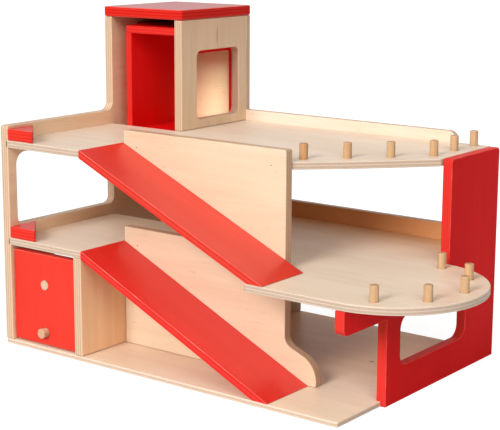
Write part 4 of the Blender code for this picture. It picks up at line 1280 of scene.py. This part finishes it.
class GARAGE_OT_stage(bpy.types.Operator):
    """Pale floor, soft light from the front and the sides, and the camera"""

    bl_idname = "garage.stage"
    bl_label = "Stage"

    def execute(self, context):
        stage = context.scene.garage_stage
        side = np.linspace(-FLOOR_REACH, FLOOR_REACH, FLOOR_CELLS + 1)
        x, y = np.meshgrid(side, side, indexing="ij")
        points = np.stack([x, y, np.full_like(x, -FLOOR_DROP)], axis=-1).reshape(-1, 3)
        row, column = np.meshgrid(np.arange(FLOOR_CELLS), np.arange(FLOOR_CELLS), indexing="ij")
        first = row * len(side) + column
        faces = np.stack([first, first + len(side), first + len(side) + 1, first + 1], axis=-1)
        mesh = bpy.data.meshes.new("studio_floor")
        mesh.from_pydata(points.tolist(), [], faces.reshape(-1, 4).tolist())
        floor = bpy.data.objects.new("studio_floor", mesh)
        context.scene.collection.objects.link(floor)
        mesh.materials.append(floor_finish())
        self.light(context, stage)
        self.camera(context, stage)
        return {"FINISHED"}

    def light(self, context, stage):
        """A dim room with a bright backdrop, and soft lights round the garage.

        A light's source lies at an angle from the front, turned towards the left, and at an
        elevation above the floor. The camera sees the room white.
        """
        world = bpy.data.worlds.new("studio_room")
        world.use_nodes = True
        room = Nodes(world.node_tree)
        place = room.add("TexCoord").outputs["Generated"]
        towards = room.add("VectorMath", {0: place, 1: BACKDROP}, operation="DOT_PRODUCT")
        paper = room.remap(towards.outputs["Value"], *BACKDROP_SPAN, stage.sky, stage.backdrop,
                           interpolation_type="SMOOTHSTEP")
        seen = room.add("LightPath").outputs["Is Camera Ray"]
        background = room.nodes["Background"].inputs
        room.join(room.remap(seen, 0.0, 1.0, paper, 1.0), background["Strength"])
        room.join(WHITE, background["Color"])
        context.scene.world = world
        for name, setting, turned, height in LIGHTS:
            lamp = bpy.data.lights.new(name, "SUN")
            lamp.energy = getattr(stage, setting)
            lamp.angle = LIGHT_SPREAD
            light = bpy.data.objects.new(name, lamp)
            light.rotation_euler = (math.radians(90 - height), 0, -math.radians(turned))
            context.scene.collection.objects.link(light)

    def camera(self, context, stage):
        """The photograph's viewpoint: looking down at first, then rolled, raised and turned."""
        yaw, pitch, roll = CAMERA_TURN
        turn = (Matrix.Rotation(yaw, 3, "Z") @ Matrix.Rotation(math.pi / 2 - pitch, 3, "X")
                @ Matrix.Rotation(roll, 3, "Z"))
        data = bpy.data.cameras.new("camera")
        data.sensor_width = SENSOR_WIDTH
        data.sensor_fit = "HORIZONTAL"
        data.lens = stage.lens
        data.shift_x, data.shift_y = CAMERA_SHIFT
        camera = bpy.data.objects.new("camera", data)
        camera.rotation_mode = "QUATERNION"
        camera.rotation_quaternion = turn.to_quaternion()
        camera.location = Vector(CAMERA_PLACE) + CORNER
        context.scene.collection.objects.link(camera)
        context.scene.camera = camera
        context.scene.view_settings.view_transform = "Standard"


STEPS = (
    GARAGE_OT_base_board, GARAGE_OT_left_panel, GARAGE_OT_right_panel, GARAGE_OT_back_panel,
    GARAGE_OT_mid_deck, GARAGE_OT_upper_deck, GARAGE_OT_divider, GARAGE_OT_guard,
    GARAGE_OT_ramps, GARAGE_OT_stop_blocks, GARAGE_OT_pegs, GARAGE_OT_tower,
    GARAGE_OT_lift_car, GARAGE_OT_door, GARAGE_OT_stage,
)


class GARAGE_PT_panel(bpy.types.Panel):
    """Lists the garage's sizes, colours and pieces"""

    bl_idname = "GARAGE_PT_panel"
    bl_label = "Toy Parking Garage"
    bl_space_type = "VIEW_3D"
    bl_region_type = "UI"
    bl_category = "Garage"

    def draw(self, context):
        for group in (context.scene.garage_sizes, context.scene.garage_colours,
                      context.scene.garage_stage):
            for label in group.__annotations__:
                self.layout.prop(group, label)
        for step in STEPS:
            self.layout.operator(step.bl_idname)


CLASSES = (GarageSizes, GarageColours, GarageStage, *STEPS, GARAGE_PT_panel)


def register():
    """Add the classes and their settings to Blender."""
    for item in CLASSES:
        bpy.utils.register_class(item)
    bpy.types.Scene.garage_sizes = PointerProperty(type=GarageSizes)
    bpy.types.Scene.garage_colours = PointerProperty(type=GarageColours)
    bpy.types.Scene.garage_stage = PointerProperty(type=GarageStage)


def unregister():
    """Take the classes and settings out again."""
    del bpy.types.Scene.garage_stage, bpy.types.Scene.garage_colours
    del bpy.types.Scene.garage_sizes
    for item in reversed(CLASSES):
        bpy.utils.unregister_class(item)


def main():
    """Build every piece, then the stage."""
    register()
    for step in STEPS:
        group, action = step.bl_idname.split(".")
        getattr(getattr(bpy.ops, group), action)()


if __name__ == "__main__":
    main()
